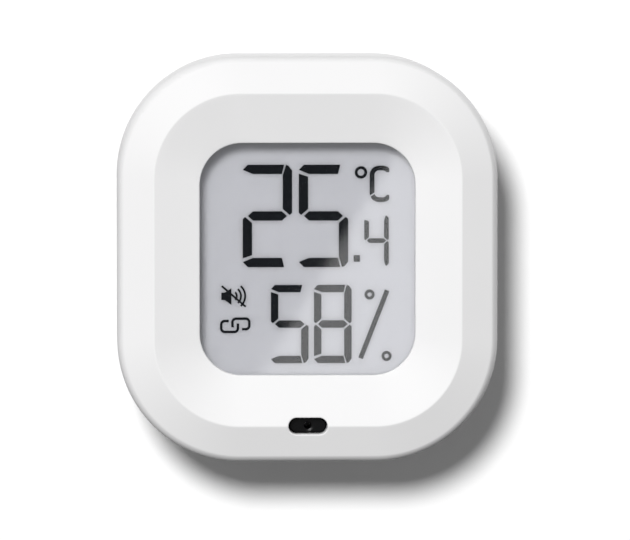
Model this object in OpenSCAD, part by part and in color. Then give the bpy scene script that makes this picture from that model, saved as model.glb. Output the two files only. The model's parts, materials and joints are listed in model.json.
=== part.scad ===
// Wall and desk temperature and humidity sensor with a segment display.
// Every piece is drawn lying on its back: x to the right, y up the face, z from the back face to the front.
// upright() then stands it up, so that the face looks along -Y and the bottom edge is at Z = 0.

/* [Body] */
// Overall width
body_w = 45; // [44:0.5:56]
// Overall height
body_h = 48; // [47:0.5:60]
// Overall depth, back face to crest
body_t = 16; // [16:0.1:20]
// Corner radius of the outline
corner_r = 14.5; // [13:0.1:17]
// Side wall thickness
wall = 1.6; // [1.4:0.1:2]
// Thickness of the rear housing's back wall
floor_t = 1.6; // [1.5:0.1:2]
// Depth of the rear housing, from the back face to the seam
seam_z = 6; // [5.8:0.1:6.4]
// Chamfer on both sides of the seam
seam_chamfer = 0.2; // [0.1:0.05:0.3]
// Height of the tongue that lines up the two housings
tongue_h = 1.2; // [0.8:0.1:1.4]
// Thickness of the tongue
tongue_t = 0.8; // [0.6:0.1:0.9]
// Gap between the tongue and the front wall
tongue_gap = 0.1; // [0.05:0.05:0.2]
// Rounding of the back edge
rear_edge_r = 1.2; // [0.6:0.1:1.5]

/* [Face] */
// Radius of the rounded front edge
edge_r = 1.65; // [1:0.05:2]
// Turn of the rounded front edge, from the side wall
edge_turn = 55; // [40:1:65]
// Width of the outer bevel
bevel_w = 3.65; // [3:0.05:4.5]
// Rise of the outer bevel
bevel_t = 1.45; // [1:0.05:2]
// Width of the flat on the crest
crest_flat = 0.3; // [0.2:0.05:0.5]
// Fall of the dish, from the crest to the display opening
dish_t = 1.5; // [1:0.05:1.6]
// Thickness of the lip around the display opening
lip_t = 1.2; // [1:0.05:1.4]
// Thickness of the face's skin
skin_t = 1.4; // [1.2:0.1:1.6]
// Thickness of the rib around the window
rib_t = 1.1; // [0.8:0.1:1.3]

/* [Window] */
// Width of the face at each side of the display opening
rim_x = 9.75; // [9.5:0.05:10.5]
// Height of the face above and below the display opening
rim_y = 10.25; // [10:0.05:11]
// Corner radius of the display opening
view_r = 5; // [3:0.1:6]
// Overlap of the window behind the lip
window_lap = 2; // [1.5:0.1:2.2]
// Window thickness
window_t = 1; // [0.8:0.05:1.2]
// Side clearance of the window in its rib
window_gap = 0.1; // [0.05:0.05:0.2]
// Adhesive thickness
adhesive_t = 0.15; // [0.1:0.05:0.2]
// Air gap between the window and the display
view_air = 0.15; // [0.1:0.05:0.3]

/* [Display cell] */
// Thickness of each glass plate
glass_t = 0.7; // [0.5:0.05:0.8]
// Thickness of each polariser film
film_t = 0.2; // [0.15:0.05:0.3]
// Height of the gap that holds the segments
cell_gap = 0.05; // [0.05:0.01:0.1]
// Border of the glass beyond the display opening
glass_border = 1; // [0.8:0.1:1.2]
// Border of the films beyond the display opening
film_border = 0.6; // [0.4:0.1:0.7]
// Width of the seal line between the plates
seal_w = 0.6; // [0.4:0.1:0.7]
// Height of the contact ledge on the front plate
ledge_h = 2.2; // [2:0.1:2.4]
// Clearance around the glass in its frame
glass_gap = 0.15; // [0.1:0.05:0.2]
// Side wall thickness of the display frame
frame_t = 1.3; // [1.1:0.1:1.4]
// Thickness of the frame's top and bottom bars
frame_bar = 1.8; // [1.6:0.1:1.9]
// Overlap of the frame's hooks on the glass
hook_lap = 0.4; // [0.3:0.05:0.5]
// Radius of the frame's pegs
peg_r = 0.5; // [0.4:0.05:0.6]
// Place of the bottom pegs from the frame's sides
peg_in = 4.7; // [3:0.1:5]
// Place of the top pegs from the middle
top_peg_x = 4; // [3:0.1:5]
// Thickness of the zebra strip
zebra_t = 1.6; // [1.4:0.1:1.7]

/* [Readout] */
// Width of a temperature digit
big_w = 5.85; // [5:0.05:6]
// Height of a temperature digit
big_h = 12.15; // [10:0.05:12.5]
// Stroke of a temperature digit
big_s = 1.1; // [0.8:0.01:1.2]
// Width of a humidity digit
mid_w = 4.46; // [4:0.02:4.6]
// Height of a humidity digit
mid_h = 9.3; // [8:0.02:9.5]
// Stroke of a humidity digit
mid_s = 0.87; // [0.6:0.01:0.9]
// Width of the tenths digit
small_w = 2.9; // [2.4:0.05:3]
// Height of the tenths digit
small_h = 6; // [5:0.05:6.2]
// Stroke of the tenths digit
small_s = 0.55; // [0.4:0.01:0.6]
// Stroke of the unit signs
sign_s = 0.56; // [0.4:0.01:0.6]
// Stroke of the rings in the unit signs
dot_s = 0.34; // [0.25:0.01:0.4]
// Stroke of the link sign
icon_s = 0.3; // [0.2:0.01:0.34]
// Stroke of the sound waves and of the line through them
wave_s = 0.23; // [0.15:0.01:0.26]
// Width of the display opening that the readout is drawn for
readout_w = 25.5; // [24:0.1:30]
// Height of the display opening that the readout is drawn for
readout_h = 27.5; // [26:0.1:32]
// Sideways shift of the whole readout
readout_x = 0.1; // [-0.3:0.05:0.3]
// Upward shift of the whole readout
readout_y = -0.15; // [-0.4:0.05:0.4]

/* [Board] */
// Board thickness
board_t = 1; // [0.8:0.1:1.2]
// Gap between the board and the side wall
board_gap = 1.1; // [1:0.05:1.4]
// Room between the board and the display for low parts
part_room = 1.35; // [1.3:0.05:2]
// Side of the square radio chip
radio_w = 5; // [4:0.5:6]
// Height of the radio chip
radio_h = 0.85; // [0.6:0.05:1]
// Buzzer radius
buzzer_r = 3.75; // [3:0.05:4]
// Buzzer height
buzzer_h = 3; // [2.6:0.1:3.2]
// Buzzer's centre from the left side of the body
buzzer_in = 12; // [11.5:0.1:13]
// Buzzer's centre from the top of the body
buzzer_down = 9.2; // [8.8:0.1:9.5]

/* [Sensor] */
// Width of the sensor slot
slot_w = 4.6; // [4.2:0.1:5.2]
// Height of the sensor slot
slot_h = 1.95; // [1.8:0.05:2.2]
// Wall of the collar around the slot
collar_t = 1.2; // [1:0.1:1.3]
// Depth of the boot's nozzle below the crest
nozzle_sink = 1.8; // [1.5:0.1:2.2]
// Clearance of the nozzle in the slot
nozzle_gap = 0.15; // [0.1:0.05:0.2]
// Radius of the boot's air port
port_r = 0.65; // [0.5:0.05:0.7]
// Side of the square sensor chip
chip_w = 2.5; // [2:0.1:2.6]
// Height of the sensor chip
chip_h = 0.9; // [0.7:0.05:1]
// Clearance around the sensor chip in the boot
chip_gap = 0.2; // [0.15:0.05:0.3]
// Thickness of the dust membrane
filter_t = 0.2; // [0.15:0.05:0.3]
// Depth of the collar below the crest
collar_sink = 3.4; // [3:0.1:4]

/* [Cell and door] */
// Coin cell radius
cell_r = 12.25; // [12.25:0.05:12.25]
// Coin cell thickness
cell_t = 5; // [5:0.1:5]
// Centre of the cell from the middle, upwards
cell_y = -4.5; // [-4.8:0.1:-4.3]
// Play between the cell and the door
cell_play = 0.2; // [0.1:0.05:0.3]
// Clearance of the cell in its well
well_gap = 0.3; // [0.3:0.05:0.4]
// Wall of the cell well
well_t = 1.2; // [1:0.1:1.3]
// Depth of the door below the back face
door_sink = 0.2; // [0.1:0.05:0.3]
// Door thickness
door_t = 1.3; // [1.2:0.05:1.5]
// Thickness of the door's skirt
skirt_t = 0.45; // [0.4:0.05:0.5]
// Width of the step that the door rests on
door_step = 1.55; // [1.4:0.05:1.6]
// Running clearance of the door
door_gap = 0.2; // [0.15:0.01:0.25]
// Reach of the bayonet lugs
lug_reach = 1.1; // [0.9:0.05:1.15]
// Thickness of the bayonet lugs
lug_t = 0.9; // [0.7:0.05:1]
// Thickness of the step above the lugs
step_t = 0.9; // [0.8:0.05:1]
// Clearance above and below the lugs
lug_gap = 0.1; // [0.08:0.01:0.15]
// Half angle of a lug
lug_half = 12; // [10:1:13]
// Turn of the door from locked to free
door_turn = 35; // [30:1:38]
// Length of the coin slot
coin_l = 15; // [12:0.5:18]
// Width of the coin slot
coin_w = 2.2; // [2:0.1:2.5]
// Depth of the coin slot
coin_d = 0.75; // [0.5:0.05:0.8]
// Thickness of the contact springs
spring_t = 0.2; // [0.15:0.05:0.25]

/* [Button] */
// Button's centre from the right side of the body
button_in = 12; // [12:0.1:13]
// Button's centre from the top of the body
button_down = 9; // [8.8:0.1:9.2]
// Button radius
button_r = 2; // [1.8:0.05:2.2]
// Clearance of the button in its hole
button_gap = 0.2; // [0.15:0.05:0.25]
// Depth of the button below the back face
button_sink = 0.3; // [0.2:0.05:0.4]
// Reach of the button's flange
button_flange = 0.7; // [0.6:0.05:0.8]
// Press travel
press = 0.3; // [0.2:0.05:0.35]
// Side of the square tact switch
switch_w = 4.5; // [4.2:0.1:4.8]
// Height of the tact switch
switch_h = 1.9; // [1.8:0.05:2]
// Radius of the tact switch's plunger
plunger_r = 1; // [0.9:0.05:1.05]

/* [Fasteners and hanger] */
// Case screws from the sides of the body
screw_in = 3.8; // [3.7:0.1:3.9]
// Case screws from the middle, upwards
screw_y = 9.5; // [9:0.1:9.8]
// Case screw shank radius
screw_r = 0.95; // [0.9:0.05:1]
// Case screw head radius
head_r = 1.8; // [1.6:0.05:1.9]
// Case screw head height
head_h = 1.3; // [1.1:0.1:1.4]
// Depth of the case screw heads below the back face
head_sink = 1.2; // [0.8:0.1:1.4]
// Wall of the case screw bosses
boss_t = 1.1; // [1:0.05:1.2]
// Clearance of a screw in its hole
screw_gap = 0.06; // [0.05:0.01:0.1]
// Board screws from the sides of the body
board_screw_in = 4.3; // [4.3:0.1:4.6]
// Board screw shank radius
board_screw_r = 0.75; // [0.7:0.05:0.8]
// Board screw head radius
board_head_r = 1.4; // [1.3:0.05:1.45]
// Keyhole's centre from the top of the body
key_down = 8.8; // [8.7:0.1:9]
// Keyhole entry radius
key_r = 3.2; // [3:0.05:3.2]
// Half width of the keyhole's slot
key_slot_r = 1.6; // [1.5:0.05:1.7]
// Rise of the keyhole's slot
key_rise = 3.9; // [3.5:0.1:4]
// Room behind the keyhole for a screw head
key_room = 3; // [2.5:0.1:3.2]

/* [Hidden] */
$fn = 96;
eps = 0.02;

// Face levels and insets from the outline
edge_w = edge_r * (1 - cos(edge_turn));
edge_t = edge_r * sin(edge_turn);
crest_u = edge_w + bevel_w;
bevel_z = body_t - bevel_t;
edge_z = bevel_z - edge_t;
view_w = body_w - 2 * rim_x;
view_h = body_h - 2 * rim_y;
lip_u = max(rim_x, rim_y);
lip_z = body_t - dish_t;
rib_u = min(rim_x, rim_y) - window_lap - window_gap - rib_t;
ceil_z = body_t - skin_t - 0.1;

// Display stack levels, from the lip down to the board
lip_back_z = lip_z - lip_t;
window_z = lip_back_z - adhesive_t - window_t;
film_z = window_z - view_air - film_t;
front_glass_z = film_z - glass_t;
gap_z = front_glass_z - cell_gap;
rear_glass_z = gap_z - glass_t;
reflector_z = rear_glass_z - film_t;
board_top_z = reflector_z - part_room;
board_z = board_top_z - board_t;

// Display outlines
window_w = view_w + 2 * window_lap;
window_h = view_h + 2 * window_lap;
glass_w = view_w + 2 * glass_border;
glass_h = view_h + 2 * glass_border;
film_w = view_w + 2 * film_border;
film_h = view_h + 2 * film_border;
pocket_w = glass_w + 2 * glass_gap;
pocket_lo = -glass_h / 2 - glass_gap;
pocket_hi = glass_h / 2 + ledge_h + glass_gap;
frame_w = pocket_w + 2 * frame_t;
frame_lo = pocket_lo - frame_bar;
frame_hi = pocket_hi + frame_bar;
pegs = [
    [frame_w / 2 - peg_in, frame_lo + frame_bar / 2],
    [top_peg_x, frame_hi - frame_bar / 2]
];
zebra_y = glass_h / 2 + ledge_h / 2;
readout_scale = min(view_w / readout_w, view_h / readout_h);

// Board outline
board_in = wall + board_gap;
board_w = body_w - 2 * board_in;
board_h = body_h - 2 * board_in;

// Sensor place: the slot lies across the crest, at the bottom
slot_y = crest_u - body_h / 2;
nozzle_z = body_t - nozzle_sink;
collar_z = body_t - collar_sink;
boot_w = slot_w + 2 * collar_t - 0.6;
boot_h = slot_h + 2 * collar_t - 0.6;
chip_room_z = board_top_z + chip_h + chip_gap;
filter_r = chip_w / 2;

// Cell and door levels and radii
door_back_z = door_sink + door_t;
cell_z = door_back_z + cell_play;
cell_top_z = cell_z + cell_t;
skirt_in_r = cell_r + 0.15;
skirt_r = skirt_in_r + skirt_t;
bore_r = skirt_r + door_gap;
recess_r = bore_r + door_step;
door_r = recess_r - door_gap;
lug_r = skirt_r + lug_reach;
groove_r = lug_r + door_gap + 0.05;
step_z = door_back_z + step_t;
lug_z = step_z + lug_gap;
groove_z = lug_z + lug_t + lug_gap;
ring_r = recess_r + 1.2;
ring_z = groove_z + 0.8;
well_r = cell_r + well_gap;
well_z = board_z - 0.4;

// Button and sounder places and levels
button_x = body_w / 2 - button_in;
button_y = body_h / 2 - button_down;
buzzer_x = buzzer_in - body_w / 2;
buzzer_y = body_h / 2 - buzzer_down;
switch_z = board_z - switch_h;
cover_z = switch_z + spring_t;
plunger_z = switch_z - 0.6;
button_hole_r = button_r + button_gap;
flange_z = floor_t + 0.15;
flange_r = button_r + button_flange;

// Screws
screw_x = body_w / 2 - screw_in;
board_screw_x = body_w / 2 - board_screw_in;
seat_z = head_sink + head_h;
rear_boss_r = head_r + 0.15 + 0.9;
front_boss_r = screw_r + screw_gap + boss_t;
boss_top_z = ceil_z;
screw_top_z = board_top_z + 2.4;
board_boss_r = board_screw_r + screw_gap + 1;

// Keyhole and its room, upwards from the entry's centre
key_y = body_h / 2 - key_down;
key_lo = -key_r - 0.1;
key_hi = key_rise + key_r;
key_mid = (key_lo + key_hi) / 2;
key_len = key_hi - key_lo;

// Helpers

// Stands a piece up: the face turns to -Y and the bottom edge comes to Z = 0
module upright() {
    translate([0, body_t / 2, body_h / 2])
        rotate([90, 0, 0])
            children();
}

// Flat rounded rectangle about the middle
module round_rect(w, h, r) {
    square([w - 2 * r, h], center = true);
    square([w, h - 2 * r], center = true);
    for (sx = [-1, 1])
        for (sy = [-1, 1])
            translate([sx * (w / 2 - r), sy * (h / 2 - r)])
                circle(r);
}

// Flat stadium about the middle
module stadium(w, h) {
    square([w - h, h], center = true);
    for (s = [-1, 1])
        translate([s * (w - h) / 2, 0])
            circle(h / 2);
}

// Plate with a rounded outline, from z up by t
module plate(w, h, r, z, t) {
    translate([0, 0, z])
        linear_extrude(t)
            round_rect(w, h, r);
}

// Cylinder from z up by t
module disc(r, z, t) {
    translate([0, 0, z])
        cylinder(r = r, h = t);
}

// Block about a point in the plane, from z up by t
module block(x, y, w, h, z, t) {
    translate([x - w / 2, y - h / 2, z])
        cube([w, h, t]);
}

// Piece of a ring between two radii, from angle a by turn
module sector(r1, r2, z, t, a, turn) {
    rotate([0, 0, a])
        rotate_extrude(angle = turn)
            translate([r1, z])
                square([r2 - r1, t]);
}

// Runs a wall section around the outline; the section's x is the inset from the outline
module around_outline(section) {
    profile = [for (p = section) [corner_r - p[0], p[1]]];
    run_x = body_w - 2 * corner_r;
    run_y = body_h - 2 * corner_r;
    for (q = [0 : 3]) {
        sx = (q == 0 || q == 3) ? 1 : -1;
        sy = (q < 2) ? 1 : -1;
        translate([sx * run_x / 2, sy * run_y / 2, 0])
            rotate([0, 0, 90 * q])
                rotate_extrude(angle = 90)
                    polygon(profile);
        across = (q % 2 == 0) ? run_x : run_y;
        along = (q % 2 == 0) ? run_y : run_x;
        rotate([0, 0, 90 * q])
            translate([across / 2, 0, 0])
                rotate([90, 0, 0])
                    linear_extrude(along, center = true)
                        polygon(profile);
    }
}

// Places its child at each case screw
module at_case_screws() {
    for (sx = [-1, 1])
        for (sy = [-1, 1])
            translate([sx * screw_x, sy * screw_y, 0])
                children();
}

// Places its child at each board screw
module at_board_screws() {
    for (sx = [-1, 1])
        translate([sx * board_screw_x, 0, 0])
            children();
}

// Places its child at each lug, turned on by a
module at_lugs(a) {
    for (i = [0 : 2])
        rotate([0, 0, 90 + 120 * i + a])
            children();
}

// Height of the dish at an inset from the outline
function dish_z(u) = body_t - dish_t * (u - crest_u - crest_flat / 2) / (lip_u - crest_u - crest_flat / 2);

// Display segments

// One seven-segment digit from its top left corner; on lists the lit segments
module digit(w, h, s, on) {
    m = h / 2;
    if (len(search("a", on)) > 0)
        polygon([[0, -0.55 * s], [0.55 * s, 0], [w - 0.85 * s, 0], [w - 1.1 * s, -s], [1.1 * s, -s]]);
    if (len(search("d", on)) > 0)
        polygon([[0, 0.55 * s - h], [0.55 * s, -h], [w - 0.85 * s, -h], [w - 1.1 * s, s - h], [1.1 * s, s - h]]);
    if (len(search("b", on)) > 0)
        polygon([[w - 0.65 * s, 0], [w - 0.4 * s, -0.1 * s], [w, -0.6 * s], [w, 0.35 * s - m],
            [w - 0.25 * s, 0.1 * s - m], [w - s, 0.75 * s - m], [w - s, -1.15 * s]]);
    if (len(search("c", on)) > 0)
        polygon([[w - 0.65 * s, -h], [w - 0.4 * s, 0.1 * s - h], [w, 0.6 * s - h], [w, -0.35 * s - m],
            [w - 0.25 * s, -0.1 * s - m], [w - s, -0.75 * s - m], [w - s, 1.15 * s - h]]);
    if (len(search("f", on)) > 0)
        polygon([[0, -0.95 * s], [s, -1.3 * s], [s, 0.75 * s - m], [0.25 * s, 0.1 * s - m], [0, 0.35 * s - m]]);
    if (len(search("e", on)) > 0)
        polygon([[0, 0.95 * s - h], [s, 1.3 * s - h], [s, -0.75 * s - m], [0.25 * s, -0.1 * s - m], [0, -0.35 * s - m]]);
    if (len(search("g", on)) > 0)
        polygon([[0.55 * s, -m], [1.1 * s, s / 2 - m], [w - 1.1 * s, s / 2 - m], [w - 0.55 * s, -m],
            [w - 1.1 * s, -s / 2 - m], [1.1 * s, -s / 2 - m]]);
}

// Flat ring
module ring(r, s) {
    difference() {
        circle(r);
        circle(r - s);
    }
}

// Straight stroke between two points
module stroke(x1, y1, x2, y2, s) {
    translate([x1, y1])
        rotate([0, 0, atan2(y2 - y1, x2 - x1)])
            translate([0, -s / 2])
                square([sqrt((x2 - x1) * (x2 - x1) + (y2 - y1) * (y2 - y1)), s]);
}

// Degree ring and letter C
module degree_sign() {
    translate([6.32, 10.28])
        ring(0.74, dot_s);
    difference() {
        translate([8.68, 8.92])
            round_rect(2.64, 4.32, 1.1);
        translate([8.68, 8.92])
            round_rect(2.64 - 2 * sign_s, 4.32 - 2 * sign_s, 0.54);
        translate([9.67, 6.2])
            square([1, 5.5]);
        translate([9.1, 7.6])
            square([1, 2.7]);
        translate([7.2, 7.2])
            rotate([0, 0, 35])
                square([1.2, 0.17]);
    }
}

// Two rings and a stroke
module percent_sign() {
    translate([7.35, -4.22])
        ring(0.6, dot_s);
    translate([9.37, -11.54])
        ring(0.6, dot_s);
    stroke(9.44, -3.73, 6.28, -11.8, sign_s);
}

// Loudspeaker with a stroke through it
module sound_off_sign() {
    polygon([[-10.25, -3.97], [-9.85, -3.97], [-9.05, -3.45], [-9.05, -5.43], [-9.85, -4.85], [-10.25, -4.85]]);
    difference() {
        for (r = [0.72, 1.22, 1.72])
            translate([-9.02, -4.38])
                ring(r, wave_s);
        translate([-11, -6.5])
            square([2.35, 4]);
        translate([-9.02, -4.38])
            for (m = [0, 1])
                mirror([0, m])
                    rotate([0, 0, 48])
                        translate([-0.1, 0])
                            square([2.5, 2.5]);
    }
    stroke(-10.2, -3.18, -7.35, -5.65, wave_s);
}

// Two linked loops
module link_sign() {
    difference() {
        translate([-9.27, -7.99])
            round_rect(2.28, 1.6, 0.58);
        translate([-9.27, -7.99])
            round_rect(2.28 - 2 * icon_s, 1.6 - 2 * icon_s, 0.28);
        translate([-9.36, -7.64])
            square([1.4, 0.7]);
    }
    difference() {
        translate([-7.93, -7.69])
            round_rect(2.3, 1.55, 0.58);
        translate([-7.93, -7.69])
            round_rect(2.3 - 2 * icon_s, 1.55 - 2 * icon_s, 0.28);
        translate([-9.2, -8.6])
            square([1.4, 0.5]);
    }
}

// Whole readout, about the middle of the display opening
module readout() {
    translate([readout_x, readout_y]) {
        translate([-7.7, 11.2])
            digit(big_w, big_h, big_s, "abged");
        translate([-1.05, 11.2])
            digit(big_w, big_h, big_s, "afgcd");
        translate([5.45, -0.32])
            square([0.76, 0.78]);
        translate([6.72, 5.18])
            digit(small_w, small_h, small_s, "fgbc");
        translate([-4.36, -3.07])
            digit(mid_w, mid_h, mid_s, "afgcd");
        translate([0.75, -3.07])
            digit(mid_w, mid_h, mid_s, "abcdefg");
        degree_sign();
        percent_sign();
        sound_off_sign();
        link_sign();
    }
}

// Front pieces

// Front shell: one wall section run around the outline, with bosses, collar, display opening and slot
module front_housing() {
    edge = [for (i = [0 : 4])
        [edge_r * (1 - cos(edge_turn * i / 4)), edge_z + edge_r * sin(edge_turn * i / 4)]];
    outside = concat(
        [[wall, seam_z], [seam_chamfer, seam_z], [0, seam_z + seam_chamfer]],
        edge,
        [[crest_u - crest_flat / 2, body_t], [crest_u + crest_flat / 2, body_t], [lip_u, lip_z]]
    );
    inside = [
        [lip_u, window_z], [rib_u, window_z], [rib_u, dish_z(rib_u) - skin_t],
        [crest_u, ceil_z], [wall, bevel_z - skin_t + 0.25]
    ];
    color([0.93, 0.93, 0.93])
        difference() {
            union() {
                around_outline(concat(outside, inside));
                at_case_screws()
                    disc(front_boss_r, seam_z, boss_top_z - seam_z);
                at_board_screws()
                    disc(board_boss_r, board_top_z, boss_top_z - board_top_z);
                translate([0, slot_y, collar_z])
                    linear_extrude(ceil_z + 0.3 - collar_z)
                        stadium(slot_w + 2 * collar_t, slot_h + 2 * collar_t);
            }
            plate(view_w, view_h, view_r, lip_back_z - eps, body_t - lip_back_z);
            plate(window_w + 2 * window_gap, window_h + 2 * window_gap, view_r + window_lap + window_gap,
                window_z - 1, lip_back_z - window_z + 1);
            at_case_screws()
                disc(screw_r + screw_gap, seam_z - 1, screw_top_z + 1.3 - seam_z);
            at_board_screws()
                disc(board_screw_r + screw_gap, board_top_z - 1, screw_top_z + 1.3 - board_top_z);
            translate([0, slot_y, collar_z - 1])
                linear_extrude(collar_sink + 2)
                    stadium(slot_w, slot_h);
        }
}

// Clear window behind the lip
module display_window() {
    color([0.85, 0.88, 0.9, 0.35])
        plate(window_w, window_h, view_r + window_lap, window_z, window_t);
}

// Tape between the window and the lip
module window_adhesive() {
    color([0.15, 0.15, 0.16])
        translate([0, 0, window_z + window_t])
            linear_extrude(adhesive_t)
                difference() {
                    round_rect(window_w, window_h, view_r + window_lap);
                    round_rect(view_w + 0.6, view_h + 0.6, view_r + 0.3);
                }
}

// Polariser on the front of the display
module lcd_front_polariser() {
    color([0.8, 0.82, 0.84, 0.3])
        block(0, 0, film_w, film_h, film_z, film_t);
}

// Front plate, with its contact ledge at the top
module lcd_front_glass() {
    color([0.85, 0.9, 0.9, 0.3])
        block(0, ledge_h / 2, glass_w, glass_h + ledge_h, front_glass_z, glass_t);
}

// Dark segments in the gap between the plates
module lcd_segments() {
    color([0.08, 0.08, 0.09])
        translate([0, 0, gap_z])
            linear_extrude(cell_gap)
                scale(readout_scale)
                    readout();
}

// Seal line around the gap
module lcd_seal() {
    color([0.5, 0.5, 0.48])
        translate([0, 0, gap_z])
            linear_extrude(cell_gap)
                difference() {
                    square([glass_w, glass_h], center = true);
                    square([glass_w - 2 * seal_w, glass_h - 2 * seal_w], center = true);
                }
}

// Rear plate
module lcd_rear_glass() {
    color([0.85, 0.9, 0.9, 0.3])
        block(0, 0, glass_w, glass_h, rear_glass_z, glass_t);
}

// Grey reflecting film behind the display
module lcd_reflector() {
    color([0.74, 0.75, 0.77])
        block(0, 0, film_w, film_h, reflector_z, film_t);
}

// Frame that holds the display on the board, with hooks over the glass and pegs through the board
module lcd_frame() {
    color([0.9, 0.9, 0.9]) {
        difference() {
            block(0, (frame_lo + frame_hi) / 2, frame_w, frame_hi - frame_lo, board_top_z, film_z - board_top_z);
            block(0, (pocket_lo + pocket_hi) / 2, pocket_w, pocket_hi - pocket_lo, rear_glass_z, 5);
            block(0, 0, film_w + 0.2, film_h + 0.2, board_top_z - 1, 5);
            block(0, zebra_y, glass_w - 1, zebra_t + 0.3, board_top_z - 1, 5);
        }
        for (sx = [-1, 1])
            for (y = [-9, 9])
                translate([sx * (frame_w / 2 - frame_t / 2 - (glass_gap + hook_lap) / 2), y, 0])
                    block(0, 0, frame_t + glass_gap + hook_lap, 3, film_z, film_t - 0.02);
        for (sx = [-1, 1])
            for (p = pegs)
                translate([sx * p[0], p[1], 0])
                    disc(peg_r, board_z - 0.6, board_t + 1.2);
    }
}

// Elastomer connector between the board and the contact ledge
module zebra_strip() {
    color([0.25, 0.25, 0.27])
        block(0, zebra_y, glass_w - 1.6, zebra_t, board_top_z, front_glass_z - board_top_z);
}

// Electronics

// Board with bites for the bosses, screw and peg holes, and slots that keep heat from the sensor
module main_board() {
    color([0.1, 0.35, 0.2])
        translate([0, 0, board_z])
            linear_extrude(board_t)
                difference() {
                    round_rect(board_w, board_h, corner_r - board_in);
                    for (sx = [-1, 1])
                        for (sy = [-1, 1])
                            translate([sx * screw_x, sy * screw_y])
                                circle(front_boss_r + 0.4);
                    for (sx = [-1, 1])
                        translate([sx * board_screw_x, 0])
                            circle(board_screw_r + 0.15);
                    for (sx = [-1, 1])
                        for (p = pegs)
                            translate([sx * p[0], p[1]])
                                circle(peg_r + 0.1);
                    for (sx = [-1, 1])
                        translate([sx * (boot_w / 2 + 0.7), slot_y - 1])
                            square([0.8, 5.6], center = true);
                }
}

// Radio chip
module radio_chip() {
    color([0.12, 0.12, 0.13])
        block(-5, 4, radio_w, radio_w, board_top_z, radio_h);
}

// Timing crystal
module crystal() {
    color([0.75, 0.75, 0.77])
        block(0.5, 4.6, 3.2, 2.5, board_top_z, 0.7);
}

// Folded antenna track along the top of the board
module board_antenna() {
    y = board_h / 2 - 1.9;
    color([0.85, 0.6, 0.3])
        translate([0, 0, board_top_z])
            linear_extrude(0.05) {
                for (i = [0 : 5])
                    translate([-5.3 + 2 * i, y])
                        square([0.4, 1.4]);
                for (i = [0 : 2]) {
                    translate([-5.3 + 4 * i, y + 1.2])
                        square([2.4, 0.4]);
                    if (i < 2)
                        translate([-3.3 + 4 * i, y - 0.2])
                            square([2.4, 0.4]);
                }
            }
}

// Small resistors and capacitors
module board_passives() {
    color([0.55, 0.45, 0.35]) {
        for (i = [0 : 3])
            block(-9 + 2 * i, 0.2, 0.8, 1.6, board_top_z, 0.6);
        for (i = [0 : 2])
            block(4.5 + 2 * i, 4.6, 0.8, 1.6, board_top_z, 0.6);
        for (i = [0 : 2])
            block(2 + 2.4 * i, -8, 1.6, 0.8, board_top_z, 0.6);
    }
}

// Sensing chip with its round opening
module humidity_sensor() {
    color([0.1, 0.1, 0.11])
        difference() {
            block(0, slot_y, chip_w, chip_w, board_top_z, chip_h);
            translate([0, slot_y, 0])
                disc(0.5, board_top_z + chip_h - 0.25, 1);
        }
}

// Dust membrane over the sensing chip
module sensor_filter() {
    color([0.9, 0.9, 0.9])
        translate([0, slot_y, 0])
            disc(filter_r, chip_room_z, filter_t);
}

// Soft boot that leads the air from the slot to the sensing chip
module sensor_boot() {
    color([0.05, 0.05, 0.05])
        translate([0, slot_y, 0])
            difference() {
                union() {
                    translate([0, 0, board_top_z])
                        linear_extrude(collar_z - board_top_z)
                            stadium(boot_w, boot_h);
                    translate([0, 0, collar_z - 0.5])
                        linear_extrude(nozzle_z - collar_z + 0.5)
                            stadium(slot_w - 2 * nozzle_gap, slot_h - 2 * nozzle_gap);
                }
                disc(port_r, board_top_z, body_t);
                disc(filter_r + 0.05, board_top_z, chip_room_z + filter_t - board_top_z);
                block(0, 0, chip_w + 2 * chip_gap, chip_w + 2 * chip_gap, board_top_z - 1, 1 + chip_h + chip_gap);
            }
}

// Sounder case with a sound hole towards the back
module buzzer_case() {
    z = board_z - buzzer_h;
    color([0.08, 0.08, 0.08])
        translate([buzzer_x, buzzer_y, 0])
            difference() {
                disc(buzzer_r, z, buzzer_h);
                disc(0.9, z - 1, 2);
                disc(buzzer_r - 0.95, z + 0.5, 1);
                disc(buzzer_r - 0.45, z + 1.1, buzzer_h - 1.5);
            }
}

// Sounder disc on its step in the case
module buzzer_disc() {
    color([0.8, 0.65, 0.3])
        translate([buzzer_x, buzzer_y, 0])
            disc(buzzer_r - 0.5, board_z - buzzer_h + 1.1, 0.25);
}

// Tact switch body
module switch_body() {
    color([0.1, 0.1, 0.1])
        translate([button_x, button_y, 0])
            difference() {
                block(0, 0, switch_w, switch_w, cover_z, board_z - cover_z);
                disc(plunger_r + 0.7, cover_z - 1, 2.1);
            }
}

// Tact switch cover plate
module switch_cover() {
    color([0.75, 0.75, 0.76])
        translate([button_x, button_y, 0])
            difference() {
                block(0, 0, switch_w, switch_w, switch_z, spring_t);
                disc(plunger_r + 0.2, switch_z - 1, 2);
            }
}

// Tact switch plunger, held in by its flange
module switch_plunger() {
    color([0.15, 0.15, 0.15])
        translate([button_x, button_y, 0]) {
            disc(plunger_r, plunger_z, cover_z + 0.45 - plunger_z);
            disc(plunger_r + 0.4, cover_z + 0.05, 0.4);
        }
}

// Pairing button, with its flange behind the back wall and a stem down to the plunger
module pair_button() {
    color([0.85, 0.85, 0.85])
        translate([button_x, button_y, 0]) {
            translate([0, 0, button_sink])
                cylinder(r1 = button_r - 0.25, r2 = button_r, h = 0.25);
            disc(button_r, button_sink + 0.25, flange_z - button_sink);
            disc(flange_r, flange_z, 0.6);
            disc(plunger_r - 0.1, flange_z + 0.3, plunger_z - 0.05 - flange_z - 0.3);
        }
}

// Cell and contacts

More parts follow.
